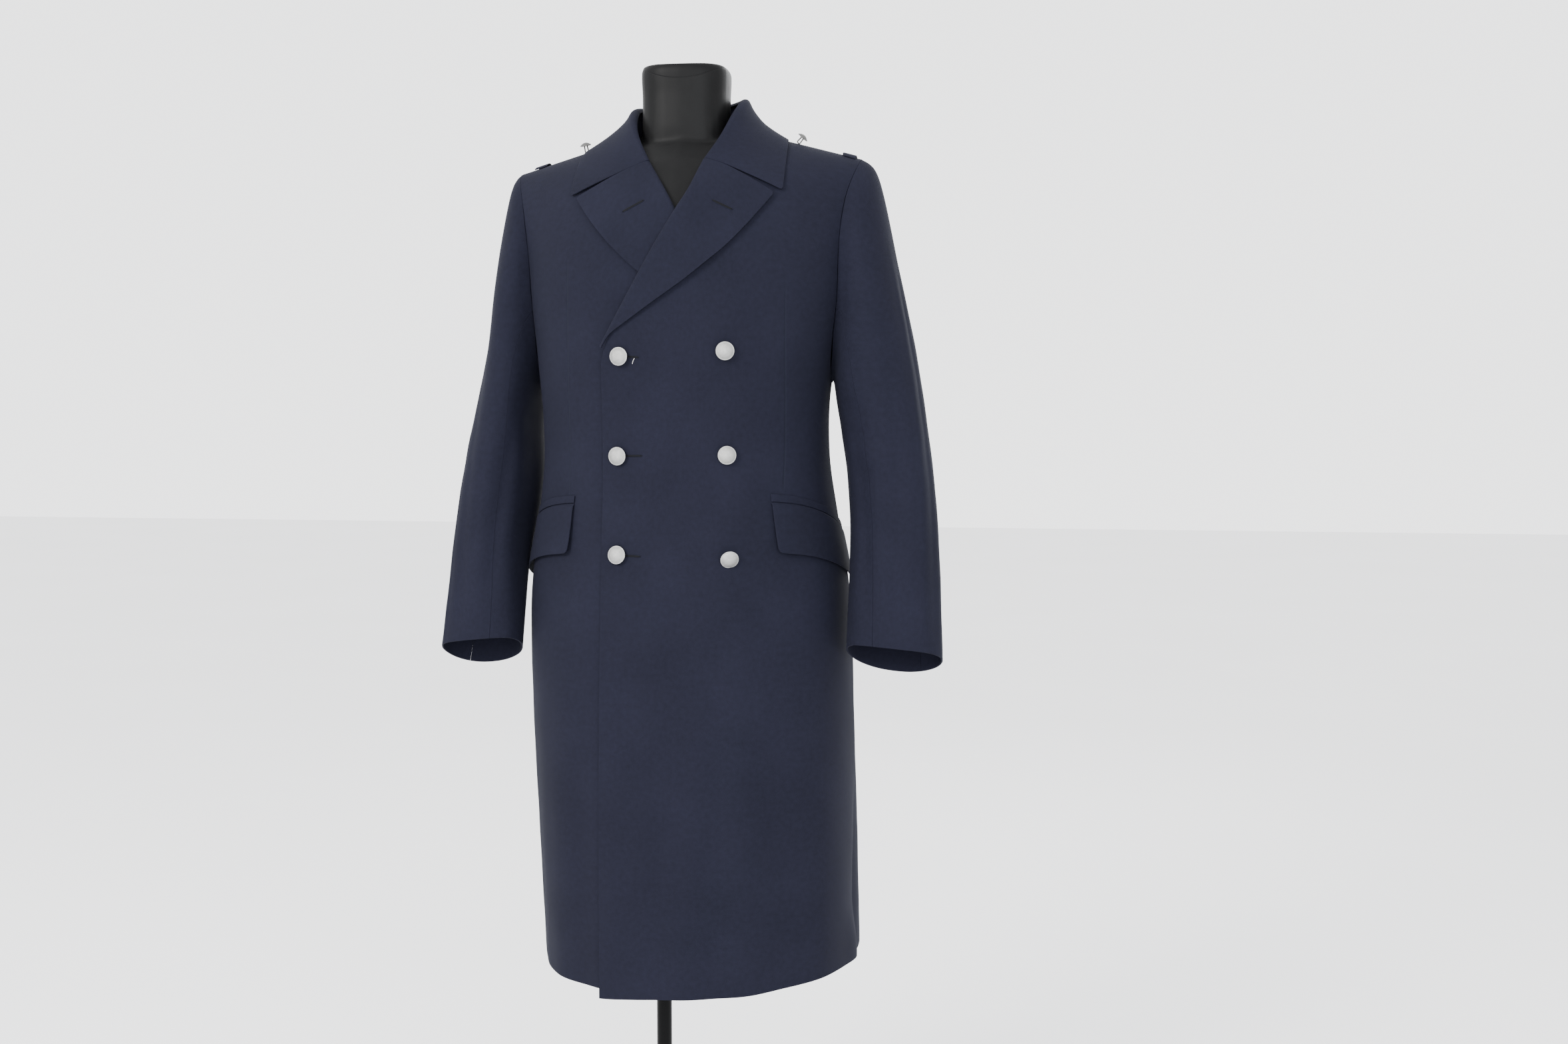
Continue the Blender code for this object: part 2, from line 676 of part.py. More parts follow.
def collar_frame(station):
    """Fold centre, way out, way away from the stand and radius at a station from -1 to 1."""
    side = 1.0 if station >= 0.0 else -1.0
    part = abs(station)
    values = read_table(COLLAR, part)
    centre = Vector((side * values[4], values[5], values[6]))
    step = 0.01
    ends = []
    for near in (station - step, station + step):
        near_side = 1.0 if near >= 0.0 else -1.0
        near_values = read_table(COLLAR, abs(near))
        ends.append(Vector((near_side * near_values[4], near_values[5], near_values[6])))
    along = (ends[1] - ends[0]).normalized()
    way_out = Vector((side * values[7], values[8], values[9])).normalized()
    away = along.cross(way_out).normalized()
    return centre, way_out, away, values[10]


def collar_edge(station):
    """Outer edge of the collar's fall, just over the shoulders."""
    side = 1.0 if station >= 0.0 else -1.0
    values = read_table(COLLAR, abs(station))
    return shoulder_point(side * values[2], values[3], STEP_OUT)


def soft_max(first, second, blend=0.0012):
    """The larger of two heights, rounded where they cross."""
    return (first + second + math.hypot(first - second, blend)) / 2


def hanging_point(station, leaf):
    """The fall's own curve, from the end of the fold (leaf 0) to the outer edge (leaf 1)."""
    centre, way_out, away, radius = collar_frame(station)
    start = centre + way_out * radius
    end = collar_edge(station)
    control = start - away * (end - start).length * FALL_DROP
    return start * (1 - leaf) ** 2 + control * 2 * leaf * (1 - leaf) + end * leaf**2


def gorge_point(side, leaf):
    """The collar's front end, which leaves the lapel's top edge towards the collar's tip."""
    across, rise = lapel_place(1.0, 0.0, side)
    across += (COLLAR_TIP[0] - across) * leaf
    rise += (rise_at(side * COLLAR_TIP[0], COLLAR_TIP[1]) - rise) * leaf
    return front_point(rise, angle_at(rise, side * across), side, STEP_OUT)


def fall_point(station, leaf):
    """A point of the fall's outer face, which rests on the shoulders where it reaches them."""
    side = 1.0 if station >= 0.0 else -1.0
    point = hanging_point(station, leaf)
    point += (gorge_point(side, leaf) - hanging_point(side, leaf)) * ease(abs(station), 0.75, 1.0)
    floor = shoulder_point(point.x, point.y, STEP_OUT).z
    shared = ease(leaf, 0.0, 0.3)
    point.z += (soft_max(point.z, floor) - point.z) * shared
    return point


def surface_normal(surface, station, leaf, outward):
    step = 0.004
    along = surface(min(station + step, 1.0), leaf) - surface(max(station - step, -1.0), leaf)
    down = surface(station, min(leaf + step, 1.0)) - surface(station, max(leaf - step, 0.0))
    normal = along.cross(down).normalized()
    return normal if normal.dot(outward) > 0.0 else -normal


def make_collar(collection):
    """The fall, rolled over the stand's top edge, and the stand inside it."""
    outer, inner = [], []
    for column in range(COLLAR_COLUMNS + 1):
        station = -1.0 + 2.0 * column / COLLAR_COLUMNS
        centre, way_out, away, radius = collar_frame(station)
        start = COLLAR_FOLD_START + (FOLD_START - COLLAR_FOLD_START) * ease(abs(station), 0.55, 0.85)
        outer_row, inner_row = [], []
        for fold in range(FOLD_STEPS + 1):
            turn = start + (math.pi / 2 - start) * fold / (FOLD_STEPS + 1)
            outer_row.append(fold_point(centre, way_out, away, radius, turn))
            inner_row.append(fold_point(centre, way_out, away, radius - CLOTH, turn))
        for row in range(FALL_ROWS + 1):
            leaf = row / FALL_ROWS
            point = fall_point(station, leaf)
            normal = surface_normal(fall_point, station, leaf, way_out)
            if row == 0:
                normal = way_out
            outer_row.append(point)
            inner_row.append(point - normal * CLOTH)
        outer.append(outer_row)
        inner.append(inner_row)
    for rows in (outer, inner):
        trim(rows, 2 * SEAM, first_row=True, last_row=True)
    wall("collar_fall", outer, inner, collection)

    def stand_point(station, rise):
        centre, way_out, _, _ = collar_frame(station)
        side = 1.0 if station >= 0.0 else -1.0
        neck_x, neck_y = read_table(COLLAR, abs(station))[:2]
        foot = shoulder_point(side * neck_x, neck_y, 4 * SEAM)
        top = centre + way_out * (CLOTH / 2)
        return foot.lerp(top, rise)

    outer, inner = [], []
    for column in range(COLLAR_COLUMNS + 1):
        station = STAND_END * (-1.0 + 2.0 * column / COLLAR_COLUMNS)
        _, way_out, _, _ = collar_frame(station)
        outer_row = [stand_point(station, row / STAND_ROWS) for row in range(STAND_ROWS + 1)]
        outer.append(outer_row)
        inner.append([point - way_out * CLOTH for point in outer_row])
    wall("collar_stand", outer, inner, collection)


def armhole_frame(rise, side, at_back):
    """Armhole point, the coat's outward direction there and the way into the armhole."""
    level, _ = level_of_rise(rise)
    angle = armhole_angle(level) if level > ARMPIT else math.pi / 2
    angle = side * (math.pi - angle if at_back else angle)
    point = body_point(rise, angle)
    normal = body_normal(rise, angle)
    step = 0.002
    near = []
    for other in (max(rise - step, ARMPIT), min(rise + step, RIDGE_RISE)):
        other_level, _ = level_of_rise(other)
        other_angle = armhole_angle(other_level) if other_level > ARMPIT else math.pi / 2
        near.append(body_point(other, side * (math.pi - other_angle if at_back else other_angle)))
    along = (near[1] - near[0]).normalized()
    into = along.cross(normal).normalized()
    turn = -1.0 if at_back else 1.0
    return point, normal, into * turn * side


def sleeve_ring(part, turn, side):
    """A point of the sleeve's own section; turn 0 is outermost and a quarter turn is the front."""
    outer_x, outer_z, inner_x, inner_z, outer_sway, inner_sway, *depths = read_table(SLEEVE, part)
    middle_y, half_depth, front_rise = depths
    outer_x = side * outer_x + outer_sway
    inner_x = side * inner_x + inner_sway
    upright = signed_power(math.cos(turn), 2 / SLEEVE_ROUNDNESS)
    forward = signed_power(math.sin(turn), 2 / SLEEVE_ROUNDNESS)
    x = (outer_x + inner_x) / 2 + (outer_x - inner_x) / 2 * upright
    z = (outer_z + inner_z) / 2 + (outer_z - inner_z) / 2 * upright + front_rise * forward
    z -= CUFF_BOW * (part * part * forward) ** 2
    return Vector((x, middle_y - half_depth * forward, z))


def sleeve_rows(side):
    """Outer and inner points of a whole sleeve, closed round, a row for each section."""
    rises = [rise for rise in panel_rises() if rise >= ARMPIT - 1e-9]
    places = [(rise, False) for rise in reversed(rises)] + [(rise, True) for rise in rises[1:]]
    turns = []
    for rise, at_back in places:
        level, _ = level_of_rise(rise)
        upright = 2 * (level - ARMPIT) / (RIDGE - ARMPIT) - 1
        turn = math.acos(min(max(signed_power(upright, SLEEVE_ROUNDNESS / 2), -1.0), 1.0))
        turns.append(-turn if at_back else turn)
    starts, intos = [], []
    for rise, at_back in places:
        point, normal, into = armhole_frame(rise, side, at_back)
        starts.append(point + (normal + into) * 1.5 * SEAM)
        intos.append(into)
    outer = []
    for row in range(SLEEVE_ROWS + 1):
        part = SLEEVE[row][0]
        fade = 1.0 - ease(part, 0.0, 0.30)
        ring = []
        for start, turn in zip(starts, turns):
            own = sleeve_ring(part, turn, side)
            ring.append(own + (start - sleeve_ring(0.0, turn, side)) * fade)
        outer.append(ring)
    inner = []
    count = len(places)
    for row in range(SLEEVE_ROWS + 1):
        above, below = max(row - 1, 0), min(row + 1, SLEEVE_ROWS)
        ring = []
        for column in range(count):
            before = count - 2 if column == 0 else column - 1
            after = 1 if column == count - 1 else column + 1
            down = outer[below][column] - outer[above][column]
            around = outer[row][after] - outer[row][before]
            inward = around.cross(down).normalized() * side
            middle = sum(outer[row], Vector()) / count
            if inward.dot(middle - outer[row][column]) < 0.0:
                inward = -inward
            if row == 0:
                inward -= intos[column] * min(inward.dot(intos[column]), 0.0)
            ring.append(outer[row][column] + inward * CLOTH)
        inner.append(ring)
    return outer, inner


def make_sleeve(side, word, collection):
    """Top sleeve from the hind seam over the arm to the front seam, and under sleeve below."""
    outer, inner = sleeve_rows(side)
    top = ARMHOLE_ROWS
    front_seam = top - FRONT_SEAM
    hind_seam = top + HIND_SEAM
    last = 2 * ARMHOLE_ROWS
    over_columns = list(range(hind_seam, last)) + list(range(front_seam + 1))
    under_columns = list(range(front_seam, hind_seam + 1))
    for piece, columns in (("top_sleeve", over_columns), ("under_sleeve", under_columns)):
        outside = [[row[column] for column in columns] for row in outer]
        inside = [[row[column] for column in columns] for row in inner]
        for rows in (outside, inside):
            trim(rows, 2 * SEAM, first_column=True, last_column=True)
        wall(f"{word}_{piece}", outside, inside, collection)


def flap_point(place, part, down, lift):
    """A point over the front and side: part runs from the flap's front end to its rear end."""
    side, front, top, _ = place
    angle = side * (front + (FLAP_REAR - front) * part)
    rise = top - FLAP_FALL * part**FLAP_DROOP - FLAP_DEPTH * down
    return body_point(rise, angle) + body_normal(rise, angle) * lift


def make_pocket(side, word, collection):
    """The flap, which stands off a little at its free edge, and the welt above it."""
    place = next(row for row in FLAP_PLACES if row[0] == side)
    outer, inner = [], []
    for row in range(FLAP_ROWS + 1):
        outer_row, inner_row = [], []
        for part in FLAP_STATIONS:
            corner = max(1.0 - part / FLAP_CORNER, 0.0)
            depth = 1.0 - FLAP_CORNER_RISE * (1.0 - math.sqrt(1.0 - corner**2))
            down = depth * row / FLAP_ROWS
            flare = FLAP_FLARE * (1.0 - 0.9 * part) + place[3] * ease(part, 0.4, 0.8)
            lift = STEP_OUT + flare * down**1.5
            outer_row.append(flap_point(place, part, down, lift))
            inner_row.append(flap_point(place, part, down, lift - CLOTH))
        outer.append(outer_row)
        inner.append(inner_row)
    wall(f"{word}_pocket_flap", outer, inner, collection)
    outer, inner = [], []
    gap = SEAM / FLAP_DEPTH
    for down in (-gap, -gap - WELT_HEIGHT / FLAP_DEPTH):
        outer.append([flap_point(place, part, down, WELT_AIR + WELT_CLOTH) for part in FLAP_STATIONS])
        inner.append([flap_point(place, part, down, WELT_AIR) for part in FLAP_STATIONS])
    wall(f"{word}_pocket_welt", outer, inner, collection)


def make_loop(side, word, collection):
    """A cloth loop that bridges the shoulder seam near the sleeve."""
    middle = LEFT_LOOP_MIDDLE if side > 0 else RIGHT_LOOP_MIDDLE
    outer, inner = [], []
    for row in range(LOOP_STEPS + 1):
        part = -1.0 + 2.0 * row / LOOP_STEPS
        lift = 2 * SEAM + LOOP_RISE * (1.0 - part**4)
        along = LOOP_MIDDLE_Y + part * LOOP_REACH
        outer_row, inner_row = [], []
        for across in (middle - LOOP_WIDTH / 2, middle, middle + LOOP_WIDTH / 2):
            outer_row.append(shoulder_point(side * across, along, lift + LOOP_CLOTH))
            inner_row.append(shoulder_point(side * across, along, lift))
        outer.append(outer_row)
        inner.append(inner_row)
    wall(f"{word}_shoulder_loop", outer, inner, collection)


def turned(name, profile, steps, collection, finish_values):
    """A piece turned about its own Z axis from a profile that runs down its outer side."""
    shape = bmesh.new()
    points = [shape.verts.new((radius, 0.0, height)) for radius, height in profile]
    for start, end in zip(points, points[1:]):
        shape.edges.new((start, end))
    mesh = bpy.data.meshes.new(name)
    shape.to_mesh(mesh)
    shape.free()
    made = add_object(name, mesh, collection, finish_values, (0.0, 0.0, 0.0))
    screw = made.modifiers.new("Turned", "SCREW")
    screw.steps = steps
    screw.render_steps = steps
    screw.use_merge_vertices = True
    screw.merge_threshold = 0.00001
    screw.use_smooth_shade = True
    return made


def make_buttons(collection):
    for name, across, height, lean_side, lean_up, extra in BUTTONS:
        rise = rise_at(across, height)
        angle = angle_at(rise, across)
        seat = front_point(rise, angle, 1, BUTTON_SHANK + SEAM + extra)
        leans = (math.tan(math.radians(lean_side)), 0.0, math.tan(math.radians(lean_up)))
        way = body_normal(rise, angle) + Vector(leans)
        made = turned(name, BUTTON_PROFILE, BUTTON_STEPS, collection, SILVER_FINISH)
        made.location = Vector(COAT_PLACE) + seat
        made.rotation_euler = way.to_track_quat("Z", "Y").to_euler()
    for name, across, along, lean_side, lean_forward in SHOULDER_BUTTONS:
        foot = shoulder_point(across, along, 0.0)
        way = Vector((math.tan(math.radians(lean_side)), -math.tan(math.radians(lean_forward)), 1.0))
        way.normalize()
        made = turned(name, SHOULDER_BUTTON_PROFILE, SHOULDER_BUTTON_STEPS, collection, SILVER_FINISH)
        made.location = Vector(COAT_PLACE) + foot + way * STALK + Vector((0.0, 0.0, 3 * SEAM))
        made.rotation_euler = way.to_track_quat("Z", "Y").to_euler()


def form_point(rise, angle):
    """A point of the form's torso, which has the coat's arch with its own sections."""
    level, arch = level_of_rise(rise, FORM_RIDGE)
    half_width, front, back = read_table(FORM_SECTIONS, level)
    depth = (front if math.cos(angle) > 0.0 else back) * arch
    across = half_width * signed_power(math.sin(angle), 2 / ROUNDNESS)
    along = -depth * signed_power(math.cos(angle), 2 / ROUNDNESS)
    return Vector((across, along, level - shoulder_fall(level, across)))


def ringed_solid(name, rings, collection, finish_values):
    """A solid through closed rings of points, the first at the bottom, with flat ends."""
    count = len(rings[0])
    shape = bmesh.new()
    bmesh.ops.create_cone(
        shape, cap_ends=True, segments=count, radius1=1.0, radius2=1.0, depth=1.0
    )
    shape.faces.ensure_lookup_table()
    sides = [edge for edge in shape.edges if abs(edge.verts[0].co.z - edge.verts[1].co.z) > 0.5]
    bmesh.ops.subdivide_edges(shape, edges=sides, cuts=len(rings) - 2, use_grid_fill=True)
    for vert in shape.verts:
        ring = round((vert.co.z + 0.5) * (len(rings) - 1))
        turn = math.atan2(vert.co.y, vert.co.x)
        vert.co = rings[ring][round(turn / (2 * math.pi) * count) % count]
    bmesh.ops.recalc_face_normals(shape, faces=shape.faces[:])
    for face in shape.faces:
        face.smooth = True
    mesh = bpy.data.meshes.new(name)
    shape.to_mesh(mesh)
    shape.free()
    mesh.set_sharp_from_angle(angle=math.radians(50.0))
    return add_object(name, mesh, collection, finish_values)


def make_form(collection, guides):
    """The solid torso with the neck block joined to it."""
    top = CHEST + (FORM_RIDGE - CHEST) * math.pi / 2 * FORM_CREST
    rises = [row[0] for row in FORM_SECTIONS[:3]]
    rises += [rises[-1] + (top - rises[-1]) * (row + 1) / FORM_ROWS for row in range(FORM_ROWS)]
    rings = []
    for rise in rises:
        turns = [2 * math.pi * column / FORM_COLUMNS for column in range(FORM_COLUMNS)]
        rings.append([form_point(rise, math.pi / 2 + turn) for turn in turns])
    torso = ringed_solid("dress_form", rings, collection, FORM_FINISH)
    rings = []
    for height, half_width, half_depth in NECK:
        ring = []
        for column in range(FORM_COLUMNS):
            turn = 2 * math.pi * column / FORM_COLUMNS
            x = NECK_MIDDLE[0] + half_width * signed_power(math.cos(turn), 2 / NECK_ROUNDNESS)
            y = NECK_MIDDLE[1] + half_depth * signed_power(math.sin(turn), 2 / NECK_ROUNDNESS)
            ring.append(Vector((x, y, height)))
        rings.append(ring)
    neck = ringed_solid("neck_block_guide", rings, guides, FORM_FINISH)
    neck.hide_render = True
    neck.display_type = "WIRE"
    joined = torso.modifiers.new("Neck block", "BOOLEAN")
    joined.operation = "UNION"
    joined.object = neck


def make_stand(collection):
    length = FORM_BOTTOM - SEAM - POLE_FOOT
    shape = bmesh.new()
    bmesh.ops.create_cone(
        shape,
        cap_ends=True,
        segments=POLE_SIDES,
        radius1=POLE_RADIUS,
        radius2=POLE_RADIUS,
        depth=length,
    )
    mesh = bpy.data.meshes.new("stand_pole")
    shape.to_mesh(mesh)
    shape.free()
    mesh.shade_smooth()
    mesh.set_sharp_from_angle(angle=math.radians(50.0))
    place = (0.0, 0.0, POLE_FOOT + length / 2)
    add_object("stand_pole", mesh, collection, STEEL_FINISH, place)
    turned("stand_base", BASE_PROFILE, BASE_STEPS, collection, STEEL_FINISH)


def main():
    for leftover in list(bpy.data.objects):
        bpy.data.objects.remove(leftover, do_unlink=True)
    coat = bpy.data.collections.new("greatcoat_on_form")
    guides = bpy.data.collections.new("guides")
    bpy.context.scene.collection.children.link(coat)
    bpy.context.scene.collection.children.link(guides)
    make_body(coat)
    for side, word in ((1, "left"), (-1, "right")):
        make_lapel(side, word, coat)
        make_sleeve(side, word, coat)
        make_pocket(side, word, coat)
        make_loop(side, word, coat)
    make_collar(coat)
    make_buttons(coat)
    make_form(coat, guides)
    make_stand(coat)


main()
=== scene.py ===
# A double-breasted greatcoat on a limbless dress form: its looks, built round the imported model.
# Metres, +Z up, the coat's front towards -Y and the wearer's left towards +X.
import math

import bpy
import bmesh
import numpy as np
from mathutils import Matrix, Vector
from mathutils.bvhtree import BVHTree
from mathutils.kdtree import KDTree


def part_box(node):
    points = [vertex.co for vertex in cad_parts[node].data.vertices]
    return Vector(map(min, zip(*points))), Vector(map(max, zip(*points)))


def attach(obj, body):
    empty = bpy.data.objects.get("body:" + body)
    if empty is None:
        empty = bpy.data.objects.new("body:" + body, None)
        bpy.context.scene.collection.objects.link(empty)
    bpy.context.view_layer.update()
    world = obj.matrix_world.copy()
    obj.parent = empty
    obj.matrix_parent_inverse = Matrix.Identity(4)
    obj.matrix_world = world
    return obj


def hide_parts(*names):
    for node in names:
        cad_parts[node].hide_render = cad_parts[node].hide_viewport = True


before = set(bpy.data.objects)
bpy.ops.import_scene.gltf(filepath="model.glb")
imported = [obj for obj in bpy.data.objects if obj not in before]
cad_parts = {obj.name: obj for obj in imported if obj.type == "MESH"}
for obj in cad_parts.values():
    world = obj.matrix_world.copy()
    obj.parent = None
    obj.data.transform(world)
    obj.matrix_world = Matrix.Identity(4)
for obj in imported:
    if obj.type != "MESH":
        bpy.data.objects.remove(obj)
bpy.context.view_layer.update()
print("frame loaded")

# what the whole coat shares
coat = {
    "middleX": 0.040,  # the coat hangs a little to the wearer's left of the pole
    "girth": 0.19,  # mean radius of the body, used for the cloth's grain
    "edgeRound": 0.0009,
    "seamRound": 0.0004,
    "rimAngle": 50.0,
    "weltSink": 0.0008,
    "loopFlat": 0.6,
    "sleeveGirth": 0.062,  # mean radius of a sleeve, for its grain
    "bodyFade": (1.36, 1.45),  # heights over which the body's creases end below the shoulder
    "sleeveFade": (1.22, 1.36),
    "chestFront": -0.03,  # lapels and collar ends lie in front of this
    "joinGap": 0.00002,  # loose corners of a solid that are one point
    "threadGap": 0.000005,
    "wireGap": 0.00001,
}


def addToScene(thing):
    bpy.context.scene.collection.objects.link(thing)


camera = {"place": (0.4985, -2.2538, 1.138), "tilt": 85.6, "turn": 8.49, "lens": 40.4, "sensor": 36.0}


def makeCamera():
    view = bpy.data.cameras.new("studioCamera")
    view.lens = camera["lens"]
    view.sensor_width = camera["sensor"]
    eye = bpy.data.objects.new("studioCamera", view)
    eye.location = camera["place"]
    eye.rotation_euler = (math.radians(camera["tilt"]), 0.0, math.radians(camera["turn"]))
    addToScene(eye)
    bpy.context.scene.camera = eye


makeCamera()


# shader groups and materials


def newGroup(name, inputs, outputs):
    group = bpy.data.node_groups.new(name, "ShaderNodeTree")
    for label, kind, value in inputs:
        socket = group.interface.new_socket(label, in_out="INPUT", socket_type="NodeSocket" + kind)
        socket.default_value = value
    for label, kind in outputs:
        group.interface.new_socket(label, in_out="OUTPUT", socket_type="NodeSocket" + kind)
    start = group.nodes.new("NodeGroupInput")
    end = group.nodes.new("NodeGroupOutput")
    return group, start, end


def addMath(tree, kind, first, second=None, third=None, clamp=False):
    node = tree.nodes.new("ShaderNodeMath")
    node.operation = kind
    node.use_clamp = clamp
    for index, value in enumerate((first, second, third)):
        if value is None:
            continue
        if isinstance(value, (int, float)):
            node.inputs[index].default_value = value
        else:
            tree.links.new(value, node.inputs[index])
    return node.outputs[0]


def addMix(tree, part, first, second):
    node = tree.nodes.new("ShaderNodeMix")
    node.data_type = "RGBA"
    for socket, value in ((node.inputs["Factor"], part), (node.inputs[6], first), (node.inputs[7], second)):
        if isinstance(value, (int, float, tuple)):
            socket.default_value = value
        else:
            tree.links.new(value, socket)
    return node.outputs[2]


def addNoise(tree, where, scale, detail, rough=0.5):
    node = tree.nodes.new("ShaderNodeTexNoise")
    node.inputs["Detail"].default_value = detail
    node.inputs["Roughness"].default_value = rough
    node.inputs["Scale"].default_value = scale
    tree.links.new(where, node.inputs["Vector"])
    return node.outputs["Fac"]


def scaled(tree, value, factor, plus=None):
    part = addMath(tree, "MULTIPLY", value, factor)
    return part if plus is None else addMath(tree, "ADD", part, plus)


def less(tree, first, second):
    return addMath(tree, "SUBTRACT", first, second)


def setLook(tree, shader, colour, rough):
    tree.links.new(colour, shader.inputs["Base Color"])
    tree.links.new(rough, shader.inputs["Roughness"])


def addWave(tree, place, count, turn):
    # a wave between 0 and 1
    turns = scaled(tree, scaled(tree, place, count), turn)
    return addMath(tree, "MULTIPLY_ADD", addMath(tree, "SINE", turns), 0.5, 0.5)


# twill and nap: noises as scale, detail and roughness, and the share of each in tone and height
twillLook = {
    "slant": 0.7,
    "sway": (300.0, 2.0),
    "swayDepth": 0.0008,
    "ribTurn": 2 * math.pi,
    "yarnTurn": 3.1 * math.pi,
    "ribShare": 0.7,
    "yarnShare": 0.3,
    "fibres": (1400.0, 3.0, 0.7),
    "nap": (160.0, 4.0, 0.6),
    "patches": (9.0, 3.0),
    "weaveTone": 0.35,
    "fibreTone": 0.45,
    "napTone": 0.55,
    "roughness": (0.12, 0.78),
    "fibreHeight": 0.8,
}


def makeTwillGroup():
    # a diagonal twill of fine yarns, with a soft nap over it; the UV map is in metres
    tree, start, end = newGroup(
        "woolTwill",
        [
            ("Place", "Vector", (0.0, 0.0, 0.0)),
            ("Dark", "Color", (0.02, 0.02, 0.05, 1.0)),
            ("Light", "Color", (0.04, 0.05, 0.09, 1.0)),
            ("Ribs", "Float", 900.0),
            ("Wear", "Float", 0.5),
        ],
        [("Color", "Color"), ("Roughness", "Float"), ("Height", "Float")],
    )
    look = twillLook
    place, ribs = start.outputs["Place"], start.outputs["Ribs"]
    split = tree.nodes.new("ShaderNodeSeparateXYZ")
    tree.links.new(place, split.inputs[0])
    across, along = split.outputs["X"], split.outputs["Y"]
    sway = addNoise(tree, place, *look["sway"])
    slant = addMath(tree, "ADD", across, scaled(tree, along, look["slant"]))
    slant = addMath(tree, "ADD", slant, scaled(tree, sway, look["swayDepth"]))
    rib = scaled(tree, addWave(tree, slant, ribs, look["ribTurn"]), look["ribShare"])
    yarn = scaled(tree, addWave(tree, along, ribs, look["yarnTurn"]), look["yarnShare"])
    weave = addMath(tree, "ADD", rib, yarn)
    fibres = addNoise(tree, place, *look["fibres"])
    nap = addNoise(tree, place, *look["nap"])
    patches = addNoise(tree, place, *look["patches"])
    part = scaled(tree, weave, look["weaveTone"], scaled(tree, fibres, look["fibreTone"]))
    part = addMath(tree, "ADD", part, scaled(tree, less(tree, nap, 0.5), look["napTone"]))
    worn = scaled(tree, less(tree, patches, 0.5), start.outputs["Wear"])
    part = addMath(tree, "ADD", part, worn, clamp=True)
    tree.links.new(addMix(tree, part, start.outputs["Dark"], start.outputs["Light"]), end.inputs["Color"])
    tree.links.new(scaled(tree, nap, *look["roughness"]), end.inputs["Roughness"])
    height = addMath(tree, "ADD", weave, scaled(tree, fibres, look["fibreHeight"]))
    tree.links.new(height, end.inputs["Height"])
    return tree


sewnFade = {"foot": 60.0, "crown": 25.0}  # how fast the line begins at its low end and ends at its high one


def makeGrooveGroup():
    # a sewn line up a panel: 1 on the line, fading to 0 a width beside it and past its ends
    tree, start, end = newGroup(
        "sewnLine",
        [
            ("Place", "Vector", (0.0, 0.0, 0.0)),
            ("Across", "Float", 0.0),
            ("Lean", "Float", 0.0),
            ("Low", "Float", 0.0),
            ("High", "Float", 1.0),
            ("Width", "Float", 0.002),
        ],
        [("Line", "Float")],
    )
    split = tree.nodes.new("ShaderNodeSeparateXYZ")
    tree.links.new(start.outputs["Place"], split.inputs[0])
    rise = less(tree, split.outputs["Z"], start.outputs["Low"])
    lean = scaled(tree, rise, start.outputs["Lean"])
    middle = addMath(tree, "ADD", start.outputs["Across"], lean)
    away = addMath(tree, "ABSOLUTE", less(tree, split.outputs["X"], middle))
    line = addMath(tree, "SUBTRACT", 1.0, addMath(tree, "DIVIDE", away, start.outputs["Width"]), clamp=True)
    foot = addMath(tree, "MULTIPLY", rise, sewnFade["foot"], clamp=True)
    left = less(tree, start.outputs["High"], split.outputs["Z"])
    crown = addMath(tree, "MULTIPLY", left, sewnFade["crown"], clamp=True)
    front = addMath(tree, "LESS_THAN", split.outputs["Y"], 0.0)
    line = scaled(tree, scaled(tree, line, foot), scaled(tree, crown, front))
    tree.links.new(line, end.inputs["Line"])
    return tree


twill = makeTwillGroup()
sewnLine = makeGrooveGroup()


def newMaterial(name):
    material = bpy.data.materials.new(name)
    material.use_nodes = True
    return material, material.node_tree, material.node_tree.nodes["Principled BSDF"]


def placeNode(tree, kind):
    node = tree.nodes.new("ShaderNodeTexCoord")
    return node.outputs[kind]


def addBump(tree, shader, height, distance):
    bump = tree.nodes.new("ShaderNodeBump")
    bump.inputs["Distance"].default_value = distance
    bump.inputs["Strength"].default_value = 1.0
    tree.links.new(height, bump.inputs["Height"])
    tree.links.new(bump.outputs["Normal"], shader.inputs["Normal"])


cloth = {
    "dark": (0.0029, 0.0031, 0.0062, 1.0),
    "light": (0.0100, 0.0104, 0.0198, 1.0),
    "ribs": 900.0,
    "wear": 0.45,
    "sheen": 0.012,
    "sheenTint": (0.55, 0.60, 0.85, 1.0),
    "sheenRoughness": 0.45,
    "specular": 0.06,
    "bump": 0.00010,
}
# the darts' sewn line: its width, the share of painted shade along it, the painted shade's colour, and the
# depth of its groove in the bump
dartGrooveShade = {"width": 0.0016, "share": 0.55, "colour": (0.006, 0.007, 0.012, 1.0), "depth": 5.0}
# front darts: across and lean of the sewn line, its low and high ends, in row metres
darts = {"left": (0.1770, 0.015, 1.006, 1.275), "right": (-0.0937, 0.005, 0.998, 1.312)}


